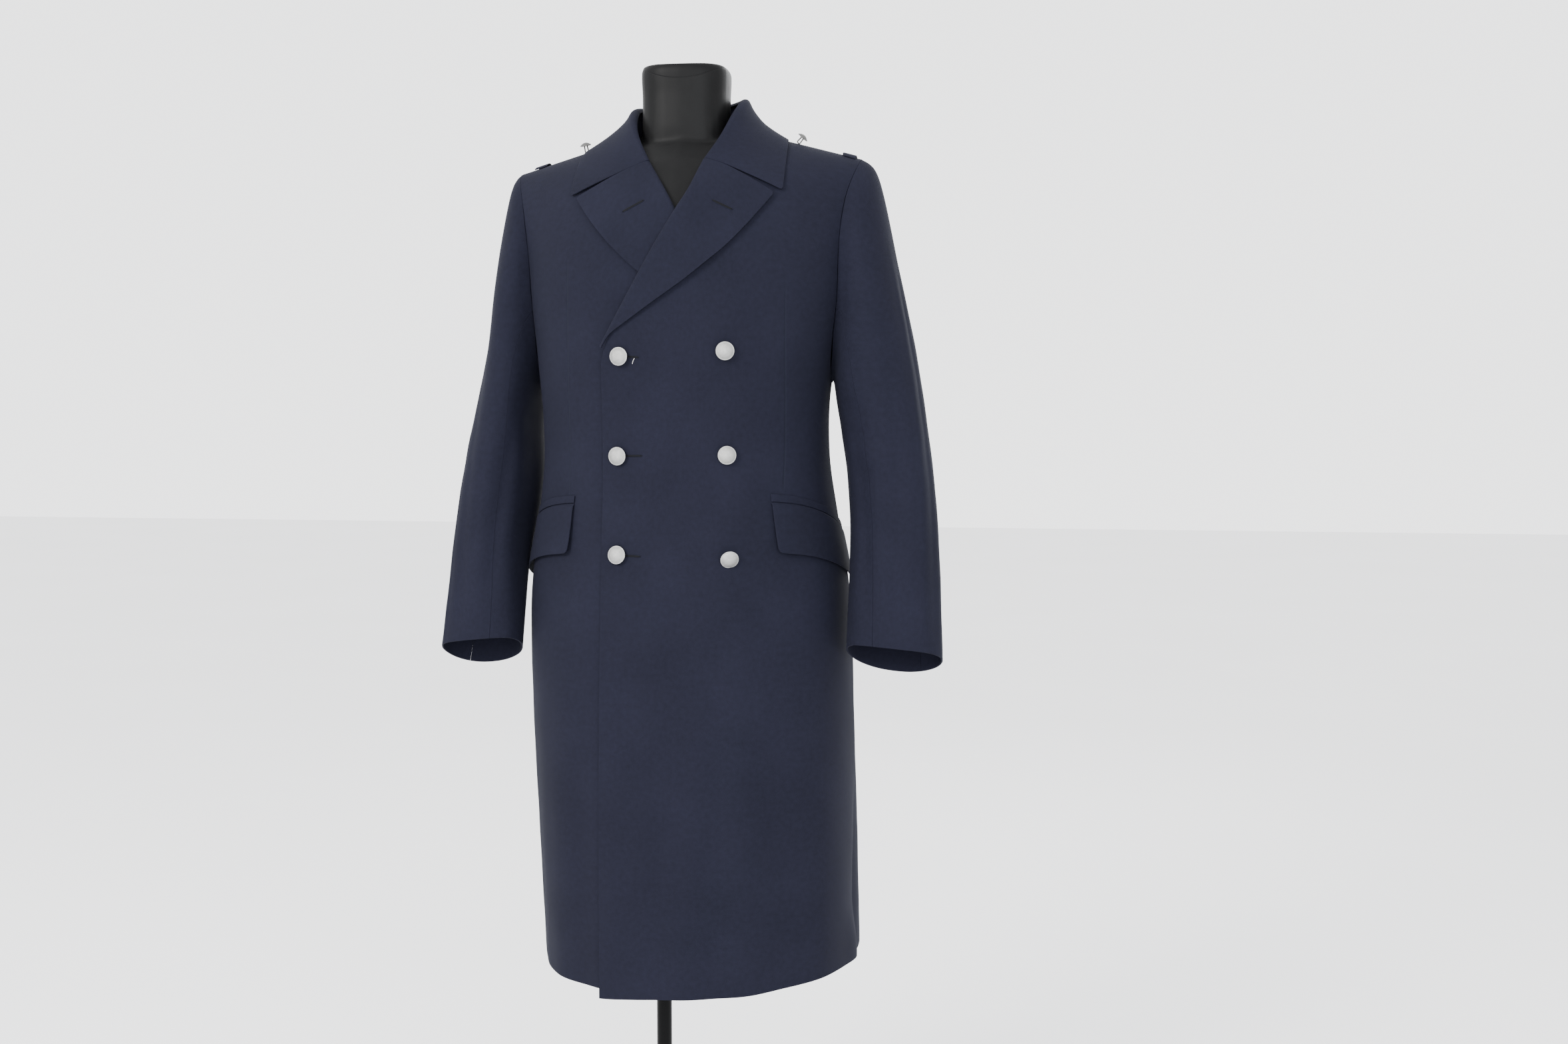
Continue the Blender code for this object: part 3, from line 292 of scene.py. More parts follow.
def clothMaterial(name, dart=None):
    material, tree, shader = newMaterial(name)
    weave = tree.nodes.new("ShaderNodeGroup")
    weave.node_tree = twill
    tree.links.new(placeNode(tree, "UV"), weave.inputs["Place"])
    for label in ("Dark", "Light", "Ribs", "Wear"):
        weave.inputs[label].default_value = cloth[label.lower()]
    colour = weave.outputs["Color"]
    height = weave.outputs["Height"]
    if dart:
        line = tree.nodes.new("ShaderNodeGroup")
        line.node_tree = sewnLine
        tree.links.new(placeNode(tree, "Object"), line.inputs["Place"])
        for label, value in zip(("Across", "Lean", "Low", "High"), dart):
            line.inputs[label].default_value = value
        line.inputs["Width"].default_value = dartGrooveShade["width"]
        sewn = line.outputs["Line"]
        # the dart line is darkened: painted shade in its groove
        colour = addMix(tree, scaled(tree, sewn, dartGrooveShade["share"]), colour, dartGrooveShade["colour"])
        height = less(tree, height, scaled(tree, sewn, dartGrooveShade["depth"]))
    setLook(tree, shader, colour, weave.outputs["Roughness"])
    shader.inputs["Sheen Weight"].default_value = cloth["sheen"]
    shader.inputs["Sheen Roughness"].default_value = cloth["sheenRoughness"]
    shader.inputs["Sheen Tint"].default_value = cloth["sheenTint"]
    shader.inputs["Specular IOR Level"].default_value = cloth["specular"]
    addBump(tree, shader, height, cloth["bump"])
    return material


coatCloth = clothMaterial("coatCloth")
frontCloths = {word: clothMaterial(word + "FrontCloth", dart=darts[word]) for word in darts}
print("cloth materials made")

metal = {
    "colour": (0.37, 0.37, 0.36, 1.0),
    "dull": (0.15, 0.15, 0.146, 1.0),
    "pebbles": 1500.0,
    "pebbleDepth": 0.00030,
    "tarnish": (260.0, 4.0, 0.65),
    "tarnishShare": 0.7,
    "roughness": (0.25, 0.36),
    "metallic": 0.75,
}
wireLook = {
    "bright": (0.66, 0.65, 0.62, 1.0),
    "dull": (0.52, 0.51, 0.48, 1.0),
    "smudge": (400.0, 3.0),
    "roughness": (0.2, 0.18),
}


def silverMaterial(name, shade):
    material, tree, shader = newMaterial(name)
    where = placeNode(tree, "Object")
    pebble = tree.nodes.new("ShaderNodeTexVoronoi")
    pebble.inputs["Scale"].default_value = metal["pebbles"]
    tree.links.new(where, pebble.inputs["Vector"])
    tarnish = addNoise(tree, where, *metal["tarnish"])
    tones = [tuple(value * shade for value in metal[key][:3]) + (1.0,) for key in ("colour", "dull")]
    colour = addMix(tree, scaled(tree, tarnish, metal["tarnishShare"]), *tones)
    setLook(tree, shader, colour, scaled(tree, tarnish, *metal["roughness"]))
    shader.inputs["Metallic"].default_value = metal["metallic"]
    addBump(tree, shader, pebble.outputs["Distance"], metal["pebbleDepth"])
    return material


def brightMaterial():
    material, tree, shader = newMaterial("brightWire")
    smudge = addNoise(tree, placeNode(tree, "Object"), *wireLook["smudge"])
    colour = addMix(tree, smudge, wireLook["bright"], wireLook["dull"])
    setLook(tree, shader, colour, scaled(tree, smudge, *wireLook["roughness"]))
    shader.inputs["Metallic"].default_value = 1.0
    return material


form = {
    "dark": (0.0022, 0.0022, 0.0023, 1.0),
    "light": (0.0060, 0.0060, 0.0063, 1.0),
    # the darker tone the block is drawn towards above the seam's curve
    "darkerTop": (0.003, 0.003, 0.0033, 1.0),
    "knit": (1500.0, 2.0, 0.6),
    "cloud": (60.0, 4.0),
    "roughness": (0.12, 0.40),
    "specular": 0.06,
    "bump": 0.00025,
    "seamDrop": 0.0165,  # sag of the seam
    "seamEdge": 0.0045,  # the seam's depth under the top, at the sides
    "darkerTopFade": 900.0,
    "seamFade": 1100.0,
    "neckX": 0.0365,
    "neckTop": 1.5455,
    "neckHalf": 0.0548,
    "neckShown": 0.0552,
    "neckFoot": (1.42, 1.47),  # the block grows out of the chest over these heights
    "neckLevel": (1.505, 0.012),  # its width is measured at this height, give or take
    "topHollow": 0.0016,
    "topRim": 0.004,
    "fullness": 0.0034,
    "fullWidth": 0.8,
    "voxel": 0.0032,
    "quickVoxel": 0.006,
    "rounds": 5,
}


def formMaterial():
    # smooth stretch cover, with a seam in a shallow curve under the neck block's top edge, and the block
    # drawn a little darker above that curve
    material, tree, shader = newMaterial("stretchCover")
    where = placeNode(tree, "Object")
    split = tree.nodes.new("ShaderNodeSeparateXYZ")
    tree.links.new(where, split.inputs[0])
    knit = addNoise(tree, where, *form["knit"])
    cloud = addNoise(tree, where, *form["cloud"])
    aside = less(tree, split.outputs["X"], form["neckX"])
    across = addMath(tree, "DIVIDE", aside, form["neckHalf"])
    sag = less(tree, 1.0, scaled(tree, across, across))
    seam = less(tree, form["neckTop"] - form["seamEdge"], scaled(tree, sag, form["seamDrop"]))
    above = less(tree, split.outputs["Z"], seam)
    darkerTop = addMath(tree, "MULTIPLY_ADD", above, form["darkerTopFade"], 0.5, clamp=True)
    away = scaled(tree, addMath(tree, "ABSOLUTE", above), form["seamFade"])
    line = addMath(tree, "SUBTRACT", 1.0, away, clamp=True)
    part = scaled(tree, knit, 0.5, scaled(tree, cloud, 0.5))
    colour = addMix(tree, part, form["dark"], form["light"])
    # above the curve the colour is drawn halfway to the darker tone
    colour = addMix(tree, scaled(tree, darkerTop, 0.5), colour, form["darkerTop"])
    setLook(tree, shader, colour, scaled(tree, cloud, *form["roughness"]))
    shader.inputs["Specular IOR Level"].default_value = form["specular"]
    addBump(tree, shader, less(tree, scaled(tree, knit, 0.25), line), form["bump"])
    return material


paint = {
    "dark": (0.0016, 0.0016, 0.0018, 1.0),
    "light": (0.0048, 0.0048, 0.0052, 1.0),
    "peel": (900.0, 2.0),
    "dust": (35.0, 5.0, 0.65),
    "roughness": (0.25, 0.22),
    "specular": 0.05,
    "bump": 0.00004,
}


def paintMaterial():
    material, tree, shader = newMaterial("satinBlackPaint")
    where = placeNode(tree, "Object")
    peel = addNoise(tree, where, *paint["peel"])
    dust = addNoise(tree, where, *paint["dust"])
    colour = addMix(tree, scaled(tree, dust, 0.6), paint["dark"], paint["light"])
    setLook(tree, shader, colour, scaled(tree, dust, *paint["roughness"]))
    shader.inputs["Specular IOR Level"].default_value = paint["specular"]
    addBump(tree, shader, peel, paint["bump"])
    return material


thread = {"fibres": 2500.0, "shade": 0.6, "roughness": 0.7, "specular": 0.1, "bump": 0.00008}


def threadMaterial(name, colour):
    material, tree, shader = newMaterial(name)
    fibre = addNoise(tree, placeNode(tree, "Object"), thread["fibres"], 3.0)
    darker = tuple(value * thread["shade"] for value in colour[:3]) + (1.0,)
    tree.links.new(addMix(tree, fibre, darker, colour), shader.inputs["Base Color"])
    shader.inputs["Roughness"].default_value = thread["roughness"]
    shader.inputs["Specular IOR Level"].default_value = thread["specular"]
    addBump(tree, shader, fibre, thread["bump"])
    return material


silver = silverMaterial("pebbledSilver", 0.93)
# the shoulder buttons' silver is darkened to 0.30: painted shade standing for the darker surroundings they
# reflect; the real buttons are the same silver as the front ones
paintedShadeSilver = silverMaterial("paintedShadeSilver", 0.30)
brightWire = brightMaterial()
stretchCover = formMaterial()
blackPaint = paintMaterial()
navyThread = threadMaterial("navyThread", (0.0042, 0.0048, 0.0092, 1.0))
whiteThread = threadMaterial("whiteThread", (0.62, 0.62, 0.60, 1.0))
# a near-black thread for the strands along the buttonhole slits: painted shadow of the openings
slitShadow = threadMaterial("slitShadow", (0.0015, 0.0016, 0.0024, 1.0))
print("other materials made")


# helpers for modelling


def setMode(mode):
    bpy.ops.object.mode_set(mode=mode)


def selectOnly(piece):
    if bpy.context.object and bpy.context.object.mode != "OBJECT":
        setMode("OBJECT")
    bpy.ops.object.select_all(action="DESELECT")
    piece.select_set(True)
    bpy.context.view_layer.objects.active = piece


def copyNode(node, name):
    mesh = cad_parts[node].data.copy()
    mesh.name = name
    piece = bpy.data.objects.new(name, mesh)
    addToScene(piece)
    piece.data.materials.clear()
    return piece


def applyAll(piece):
    selectOnly(piece)
    for modifier in list(piece.modifiers):
        bpy.ops.object.modifier_apply(modifier=modifier.name)


def readPoints(piece):
    points = np.zeros(len(piece.data.vertices) * 3)
    piece.data.vertices.foreach_get("co", points)
    return points.reshape(-1, 3)


def writePoints(piece, points):
    piece.data.vertices.foreach_set("co", points.astype(np.float32).ravel())
    piece.data.update()


def dress(piece, material):
    piece.data.materials.clear()
    piece.data.materials.append(material)
    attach(piece, "root")


def smoothSteps(values, start, end):
    part = np.clip((values - start) / (end - start), 0.0, 1.0)
    return part * part * (3.0 - 2.0 * part)


def hill(away, width):
    # 1 at the middle, fading to nothing about two widths away
    return np.exp(-((away / width) ** 2))


def joinCorners(gap, outward=False):
    setMode("EDIT")
    bpy.ops.mesh.select_all(action="SELECT")
    bpy.ops.mesh.remove_doubles(threshold=gap)
    if outward:
        bpy.ops.mesh.normals_make_consistent(inside=False)
    setMode("OBJECT")


def moveOut(points, out, middle=(coat["middleX"], 0.0)):
    # moves points level, away from the middle line
    away = points[:, :2] - middle
    size = np.maximum(np.hypot(away[:, 0], away[:, 1]), 1e-6)
    moved = points.copy()
    moved[:, :2] += away / size[:, None] * out[:, None]
    return moved


# the cloth: each panel is a fine copy of its solid, with round edges and the coat's creases

# soft folds of the body, up from the hem: degrees from the front, width in degrees, depth, high end
bodyFolds = (
    (-4.0, 5.0, -0.0010, 0.90),
    (8.0, 6.0, 0.0014, 0.86),
    (19.0, 4.5, -0.0011, 0.95),
    (31.0, 6.0, 0.0020, 1.02),
    (44.0, 5.0, -0.0016, 0.90),
    (58.0, 6.0, 0.0022, 0.84),
    (76.0, 7.0, -0.0010, 0.88),
    (91.0, 3.5, -0.0030, 0.68),
    (-22.0, 5.0, 0.0012, 0.92),
    (-34.0, 5.0, -0.0014, 0.99),
    (-47.0, 6.0, 0.0018, 0.86),
    (-66.0, 6.0, -0.0018, 0.90),
    (-84.0, 7.0, 0.0018, 0.84),
    (104.0, 6.0, 0.0020, 0.95),
    (122.0, 5.0, -0.0016, 0.88),
    (139.0, 6.0, 0.0020, 0.96),
    (158.0, 5.0, -0.0014, 1.02),
    (-102.0, 6.0, -0.0016, 0.92),
    (-121.0, 6.0, 0.0020, 0.98),
    (-142.0, 5.0, -0.0018, 0.86),
    (-160.0, 6.0, 0.0016, 1.00),
)
# slack of the chest and waist: degrees, height, width in degrees, height of it, depth, slant
bodySlack = (
    (52.0, 1.175, 9.0, 0.060, 0.0022, 0.10),
    (64.0, 1.105, 7.0, 0.020, -0.0014, 0.05),
    (58.0, 1.068, 9.0, 0.016, -0.0016, -0.06),
    (-54.0, 1.170, 9.0, 0.060, 0.0020, -0.10),
    (-66.0, 1.100, 8.0, 0.018, -0.0015, -0.05),
    (-60.0, 1.060, 9.0, 0.016, -0.0014, 0.06),
    (20.0, 1.090, 14.0, 0.030, 0.0009, 0.05),
    (-12.0, 1.120, 12.0, 0.026, -0.0007, 0.04),
    (30.0, 1.250, 8.0, 0.050, 0.0012, 0.22),
    (140.0, 1.090, 14.0, 0.018, -0.0020, 0.06),
    (-150.0, 1.110, 14.0, 0.018, -0.0020, -0.04),
    (165.0, 1.060, 12.0, 0.015, -0.0016, 0.02),
    (-128.0, 1.180, 10.0, 0.060, 0.0020, -0.20),
    (128.0, 1.190, 10.0, 0.060, 0.0020, 0.20),
    (150.0, 1.330, 14.0, 0.022, 0.0012, 0.0),
    (-152.0, 1.340, 14.0, 0.022, 0.0012, 0.0),
)
foldLow = 0.5  # below this the folds keep their full depth
foldDrift = {"degrees": 14.0, "from": 0.4}
ripple = {"body": 0.00022, "sleeve": 0.0003}
# the left side fold opens out at the hem
hemSpread = {"middle": 86.5, "width": 11.0, "depth": 0.0074, "fade": (0.405, 0.480)}
# where the shanks draw the cloth in: row metres across and up
shankPulls = (
    (-0.0182, 1.1748),
    (-0.0234, 1.0525),
    (-0.0224, 0.9307),
    (0.1095, 1.1816),
    (0.1105, 1.0542),
    (0.1149, 0.9287),
)
shankPull = {"dimple": (0.0009, 0.011), "crease": (0.0004, 0.006, 0.034)}  # depth and reach


def bodyAngles(points):
    return np.degrees(np.arctan2(points[:, 0] - coat["middleX"], -points[:, 1]))


def angleBetween(angles, middle):
    return (angles - middle + 180.0) % 360.0 - 180.0


def bodyField(points):
    # how far the body's cloth stands out from its plain form, the same for layers that lie on each other
    angles = bodyAngles(points)
    heights = points[:, 2]
    out = np.zeros(len(points))
    for middle, width, depth, high in bodyFolds:
        drift = foldDrift["degrees"] * (heights - foldDrift["from"]) * math.sin(middle)
        swing = hill(angleBetween(angles, middle + drift), width)
        out += depth * swing * (1.0 - smoothSteps(heights, foldLow, high))
    for middle, level, width, tall, depth, slant in bodySlack:
        away = angleBetween(angles, middle)
        drop = heights - level - slant * np.radians(away) * coat["girth"]
        out += depth * hill(away, width) * hill(drop, tall)
    front = points[:, 1] < 0.0
    (dimple, reach), (crease, tall, wide) = shankPull["dimple"], shankPull["crease"]
    for across, level in shankPulls:
        away = np.hypot(points[:, 0] - across, heights - level)
        out -= front * dimple * hill(away, reach)
        out -= front * crease * (hill(heights - level, tall) * hill(points[:, 0] - across, wide))
    swing = hill(angleBetween(angles, hemSpread["middle"]), hemSpread["width"])
    out += hemSpread["depth"] * swing * (1.0 - smoothSteps(heights, *hemSpread["fade"]))
    out += ripple["body"] * np.sin(heights * 61.0 + angles * 0.21) * np.sin(heights * 23.0 - angles * 0.13)
    return out


def pushBody(points):
    top = 1.0 - smoothSteps(points[:, 2], *coat["bodyFade"])
    return moveOut(points, bodyField(points) * top)


# sleeve creases: degrees round the sleeve from its outer side towards the front, how far that drifts
# down the sleeve, width in degrees, depth, and its high and low ends
sleeveCreases = (
    (40.0, -4.0, 6.0, 0.0012, 1.36, 0.80),
    (20.0, -2.0, 9.0, -0.0022, 1.34, 0.80),
    (66.0, 6.0, 12.0, -0.0024, 1.28, 0.84),
    (96.0, 4.0, 8.0, 0.0010, 1.20, 0.86),
    (122.0, 0.0, 12.0, -0.0026, 1.16, 0.86),
    (-14.0, -4.0, 8.0, 0.0008, 1.28, 0.84),
    (-44.0, 6.0, 12.0, -0.0022, 1.30, 0.82),
    (-95.0, 0.0, 12.0, 0.0014, 1.22, 0.86),
    (-140.0, 0.0, 12.0, -0.0020, 1.12, 0.90),
)
# bends across the sleeve at the elbow and under the arm: height, degrees, spread, tallness, depth
sleeveBends = (
    (1.075, 105.0, 50.0, 0.012, -0.0022),
    (1.045, 95.0, 42.0, 0.010, 0.0012),
    (1.020, 100.0, 46.0, 0.012, -0.0018),
    (1.105, 120.0, 40.0, 0.014, -0.0016),
    (0.975, 85.0, 36.0, 0.011, -0.0010),
    (1.180, 150.0, 50.0, 0.016, -0.0014),
)
# slack cloth behind the right arm, next to the body
underSlack = {
    "middle": -138.0,
    "spread": 32.0,
    "height": 0.995,
    "above": 0.105,
    "below": 0.072,
    "depth": 0.0106,
}
# the sleeve's middle line: height, metres aside of the coat's middle, row y
sleeveLine = (
    (0.79, 0.2665, -0.080),
    (0.87, 0.2640, -0.063),
    (0.94, 0.2630, -0.046),
    (1.01, 0.2590, -0.024),
    (1.08, 0.2530, -0.008),
    (1.15, 0.2450, 0.001),
    (1.22, 0.2370, 0.003),
    (1.30, 0.2270, 0.002),
    (1.40, 0.2130, 0.000),
)


def sleeveMiddle(points, side):
    levels, aside, back = zip(*sleeveLine)
    middleX = coat["middleX"] + side * np.interp(points[:, 2], levels, aside)
    return np.stack((middleX, np.interp(points[:, 2], levels, back)), axis=1)


def sleeveAngles(points, side):
    away = points[:, :2] - sleeveMiddle(points, side)
    return np.degrees(np.arctan2(-away[:, 1], side * away[:, 0]))


def pushSleeve(points, side):
    angles = sleeveAngles(points, side)
    heights = points[:, 2]
    out = np.zeros(len(points))
    for middle, drift, width, depth, high, low in sleeveCreases:
        where = middle + drift * (1.3 - heights) / 0.5 + (2.0 if side > 0 else -3.0)
        ends = smoothSteps(heights, low - 0.03, low + 0.06)
        ends *= 1.0 - smoothSteps(heights, high - 0.12, high)
        out += depth * hill(angleBetween(angles, where), width) * ends
    if side < 0:
        swing = angleBetween(angles, underSlack["middle"])
        drop = heights - underSlack["height"]
        tall = np.where(drop > 0.0, underSlack["above"], underSlack["below"])
        out += underSlack["depth"] * np.exp(-((swing / underSlack["spread"]) ** 2) - (drop / tall) ** 2)
    for level, middle, spread, tall, depth in sleeveBends:
        swing = angleBetween(angles, middle)
        drop = heights - level - 0.00022 * swing * side
        out += depth * hill(swing, spread) * hill(drop, tall)
    out += ripple["sleeve"] * np.sin(heights * 57.0 + angles * 0.09 * side) * np.sin(heights * 31.0)
    out *= 1.0 - smoothSteps(heights, *coat["sleeveFade"])
    return moveOut(points, out, sleeveMiddle(points, side))


# the left shoulder stands a little higher than its solid, and the collar more so beside the neck
shoulderRise = {"height": 0.0042, "across": (0.055, 0.110), "up": (1.290, 1.400)}
collarRise = {"height": 0.0045, "from": (0.045, 0.075), "to": (0.112, 0.140), "up": (1.440, 1.475)}


def raiseShoulder(points):
    across, heights = points[:, 0], points[:, 2]
    rise = shoulderRise["height"] * smoothSteps(across, *shoulderRise["across"])
    rise *= smoothSteps(heights, *shoulderRise["up"])
    beside = smoothSteps(across, *collarRise["from"]) * (1.0 - smoothSteps(across, *collarRise["to"]))
    moved = points.copy()
    moved[:, 2] += rise + collarRise["height"] * beside * smoothSteps(heights, *collarRise["up"])
    return moved


# the notch between collar and lapel: its ends in row metres from the coat's middle, and how far it opens
gorge = {"inner": (0.0378, 1.4195), "tip": (0.1338, 1.3700), "open": 0.0026, "reach": 0.030}


def openGorge(points):
    # lifts the collar's front ends off the lapels' top edges, most at the tips
    (x0, z0), (x1, z1) = gorge["inner"], gorge["tip"]
    length = math.hypot(x1 - x0, z1 - z0)
    alongX, alongZ = (x1 - x0) / length, (z1 - z0) / length
    away = np.abs(points[:, 0] - coat["middleX"]) - x0
    rise = points[:, 2] - z0
    along = (away * alongX + rise * alongZ) / length
    over = rise * alongX - away * alongZ
    part = smoothSteps(along, 0.15, 1.0) * (points[:, 1] < coat["chestFront"])
    moved = points.copy()
    moved[:, 2] += gorge["open"] * part * np.clip(1.0 - over / gorge["reach"], 0.0, 1.0)
    return moved


# rounded corners, in row metres from the coat's middle: corner, ways along its two edges, radius
corners = {
    "lapel": ((0.1252, 1.3718), (-0.61, -0.79), (-0.87, 0.494), 0.0036),
    "collar_fall": ((0.1350, 1.3715), (-0.889, 0.458), (0.0, 1.0), 0.0038),
}


def roundCorner(points, corner, first, second, radius):
    # draws what stands past a circle set into the corner back onto it, on both sides of the coat
    corner, first, second = np.array(corner), np.array(first), np.array(second)
    half = math.acos(float(first @ second)) / 2
    bisector = (first + second) / np.linalg.norm(first + second)
    centre = corner + bisector * radius / math.sin(half)
    side = np.where(points[:, 0] >= coat["middleX"], 1.0, -1.0)
    flat = np.stack((np.abs(points[:, 0] - coat["middleX"]), points[:, 2]), axis=1)
    away = flat - centre
    reach = radius / math.tan(half)
    past = ((flat - corner) @ first < reach) & ((flat - corner) @ second < reach)
    past &= points[:, 1] < coat["chestFront"]
    size = np.maximum(np.hypot(away[:, 0], away[:, 1]), 1e-9)
    past &= (away @ bisector < 0.0) & (size > radius)
    drawn = centre + away / size[:, None] * radius
    moved = points.copy()
    moved[past, 0] = (coat["middleX"] + side * drawn[:, 0])[past]
    moved[past, 2] = drawn[past, 1]
    return moved


# the lapels' outer edges stand off the fronts (across, height; row metres from the coat's middle)
lapelEdge = (
    (-0.0745, 1.1985),
    (-0.0480, 1.2175),
    (-0.0080, 1.2460),
    (0.0330, 1.2755),
    (0.0740, 1.3115),
    (0.1055, 1.3465),
    (0.1240, 1.3705),
)
lapelLift = {"left": 0.0020, "right": 0.0036, "reach": 0.020, "fade": (1.205, 1.260)}


def liftEdge(points, side):
    flat = np.stack((side * (points[:, 0] - coat["middleX"]), points[:, 2]), axis=1)
    near = np.full(len(points), 1.0)
    for start, end in zip(lapelEdge[:-1], lapelEdge[1:]):
        start, end = np.array(start), np.array(end)
        along = end - start
        part = np.clip(((flat - start) @ along) / float(along @ along), 0.0, 1.0)
        away = flat - start - part[:, None] * along
        near = np.minimum(near, np.hypot(away[:, 0], away[:, 1]))
    moved = points.copy()
    height = lapelLift["left" if side > 0 else "right"]
    lift = height * np.exp(-((near / lapelLift["reach"]) ** 2))
    moved[:, 1] -= lift * smoothSteps(points[:, 2], *lapelLift["fade"])
    return moved


def layGrain(piece, kind, side):
    # UV map in metres: across the piece and along its grain
    mesh = piece.data
    points = readPoints(piece)
    if kind == "sleeve":
        angles, reach = sleeveAngles(points, side), coat["sleeveGirth"]
    else:
        angles, reach = bodyAngles(points), coat["girth"]
    turns = np.radians(angles)
    middle = math.degrees(math.atan2(float(np.sin(turns).mean()), float(np.cos(turns).mean())))
    across = np.radians(angleBetween(angles, middle)) * reach
    along = points[:, 2].copy()
    if kind == "collar":
        across = points[:, 0].copy()
        along = points[:, 1] + points[:, 2]
    grain = np.stack((across, along), axis=1)
    layer = mesh.uv_layers.new(name="grain") if not mesh.uv_layers else mesh.uv_layers[0]
    corner = np.zeros(len(mesh.loops), dtype=np.int32)
    mesh.loops.foreach_get("vertex_index", corner)
    layer.data.foreach_set("uv", grain[corner].astype(np.float32).ravel())


def sinkWelt(points):
    # the welt lies almost flush with the front
    return moveOut(points, np.full(len(points), -coat["weltSink"]))


flapSet = {"tuck": 0.0017, "band": 0.0042, "drop": 0.0007, "spring": 0.0042, "sprung": (0.008, 0.056)}


def settleFlap(points, side):
    # the top edge is sewn in under the welt, and the right flap's lower rear corner springs out
    turn = bodyAngles(points) * side
    places = np.linspace(turn.min() + 1.0, turn.max() - 1.0, 14)
    tops = [points[np.abs(turn - place) < 1.4, 2].max() for place in places]
    below = np.interp(turn, places, tops) - points[:, 2]
    edge = 1.0 - smoothSteps(below, 0.0, flapSet["band"])
    out = -flapSet["tuck"] * edge
    if side < 0:
        rear = smoothSteps(turn, turn.min() + 0.45 * np.ptp(turn), turn.max())
        out += flapSet["spring"] * rear * smoothSteps(below, *flapSet["sprung"])
    moved = moveOut(points, out)
    moved[:, 2] -= flapSet["drop"] * edge
    return moved


def flattenLoop(points, node):
    # the loop hugs the shoulder more closely than its solid
    word = node.split("_")[0]
    finders = []
    for part in ("front", "back"):
        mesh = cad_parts[f"{word}_{part}"].data
        faces = [tuple(face.vertices) for face in mesh.polygons]
        finders.append(BVHTree.FromPolygons([vertex.co for vertex in mesh.vertices], faces))
    moved = points.copy()
    for index, point in enumerate(points):
        places = [finder.find_nearest(Vector(point))[0] for finder in finders]
        foot = np.array(min(places, key=lambda place: (place - Vector(point)).length))
        moved[index] = foot + (point - foot) * coat["loopFlat"]
    return moved


def looseCloth(node):
    # a copy of the solid with its quads back
    piece = copyNode(node, node + "_cloth")
    selectOnly(piece)
    bpy.ops.mesh.customdata_custom_splitnormals_clear()
    setMode("EDIT")
    bpy.ops.mesh.select_all(action="SELECT")
    bpy.ops.mesh.remove_doubles(threshold=coat["joinGap"])
    bpy.ops.mesh.tris_convert_to_quads(face_threshold=math.pi, shape_threshold=math.pi)
    setMode("OBJECT")
    return piece


seams = {"sleeve": (0.0026, 0.46), "armhole": (0.0013, 0.40)}  # reach, and each side's share of the gap


def closeSeam(first, second, reach, share):
    # draws two panels' facing edges together, corner to corner
    places = [readPoints(first), readPoints(second)]
    tree = KDTree(len(places[1]))
    for index, point in enumerate(places[1]):
        tree.insert(point, index)
    tree.balance()
    moved = [places[0].copy(), places[1].copy()]
    for index, point in enumerate(places[0]):
        _, other, away = tree.find(point)
        if away < reach:
            gap = places[1][other] - point
            moved[0][index] = point + gap * share
            moved[1][other] = places[1][other] - gap * share
    writePoints(first, moved[0])
    writePoints(second, moved[1])


def fineCloth(piece, node, kind, side, levels, material):
    edges = piece.modifiers.new("roundEdges", "BEVEL")
    edges.limit_method = "ANGLE"
    edges.angle_limit = math.radians(coat["rimAngle"])
    edges.width = coat["seamRound"] if node.endswith(seamed) else coat["edgeRound"]
    edges.segments = 2
    fine = piece.modifiers.new("fine", "SUBSURF")
    fine.levels = levels
    fine.render_levels = levels
    applyAll(piece)
    points = readPoints(piece)
    layGrain(piece, kind, side)
    if node == "collar_fall":
        points = openGorge(roundCorner(points, *corners["collar_fall"]))
    if node.endswith("_lapel"):
        points = liftEdge(roundCorner(points, *corners["lapel"]), side)
    if node.endswith("_pocket_welt"):
        points = sinkWelt(points)
    if node.endswith("_pocket_flap"):
        points = settleFlap(points, side)
    if node.endswith("_shoulder_loop"):
        points = flattenLoop(points, node)
    points = pushSleeve(points, side) if kind == "sleeve" else pushBody(points)
    writePoints(piece, raiseShoulder(points))
    piece.data.shade_smooth()
    dress(piece, material)
    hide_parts(node)
    return piece


seamed = ("_front", "_back", "_sleeve")
# each panel: name, kind of crease, subdivision levels
panels = (
    ("front", "body", 3),
    ("back", "body", 3),
    ("lapel", "body", 3),
    ("top_sleeve", "sleeve", 3),
    ("under_sleeve", "sleeve", 3),
    ("pocket_flap", "body", 3),
    ("pocket_welt", "body", 3),
    ("shoulder_loop", "collar", 2),
)
clothPieces = {}
for word, side in (("left", 1), ("right", -1)):
    for part, _, _ in panels:
        clothPieces[f"{word}_{part}"] = looseCloth(f"{word}_{part}")
    closeSeam(clothPieces[f"{word}_top_sleeve"], clothPieces[f"{word}_under_sleeve"], *seams["sleeve"])
    for sleevePart in ("top_sleeve", "under_sleeve"):
        for bodyPart in ("front", "back"):
            sleeve, body = clothPieces[f"{word}_{sleevePart}"], clothPieces[f"{word}_{bodyPart}"]
            closeSeam(sleeve, body, *seams["armhole"])
    for part, kind, levels in panels:
        node = f"{word}_{part}"
        material = frontCloths[word] if part == "front" else coatCloth
        fineCloth(clothPieces[node], node, kind, side, levels, material)
for node in ("collar_fall", "collar_stand"):
    clothPieces[node] = looseCloth(node)
    fineCloth(clothPieces[node], node, "collar", 1, 3, coatCloth)
print("cloth panels made")


# fine threads and buttonholes, laid on the cloth's own face


def faceFinder(piece):
    return BVHTree.FromObject(piece, bpy.context.evaluated_depsgraph_get())


def faceAt(finder, across, height, lift):
    hit, normal, _, _ = finder.ray_cast(Vector((across, -1.0, height)), Vector((0.0, 1.0, 0.0)))
    return hit + normal * lift


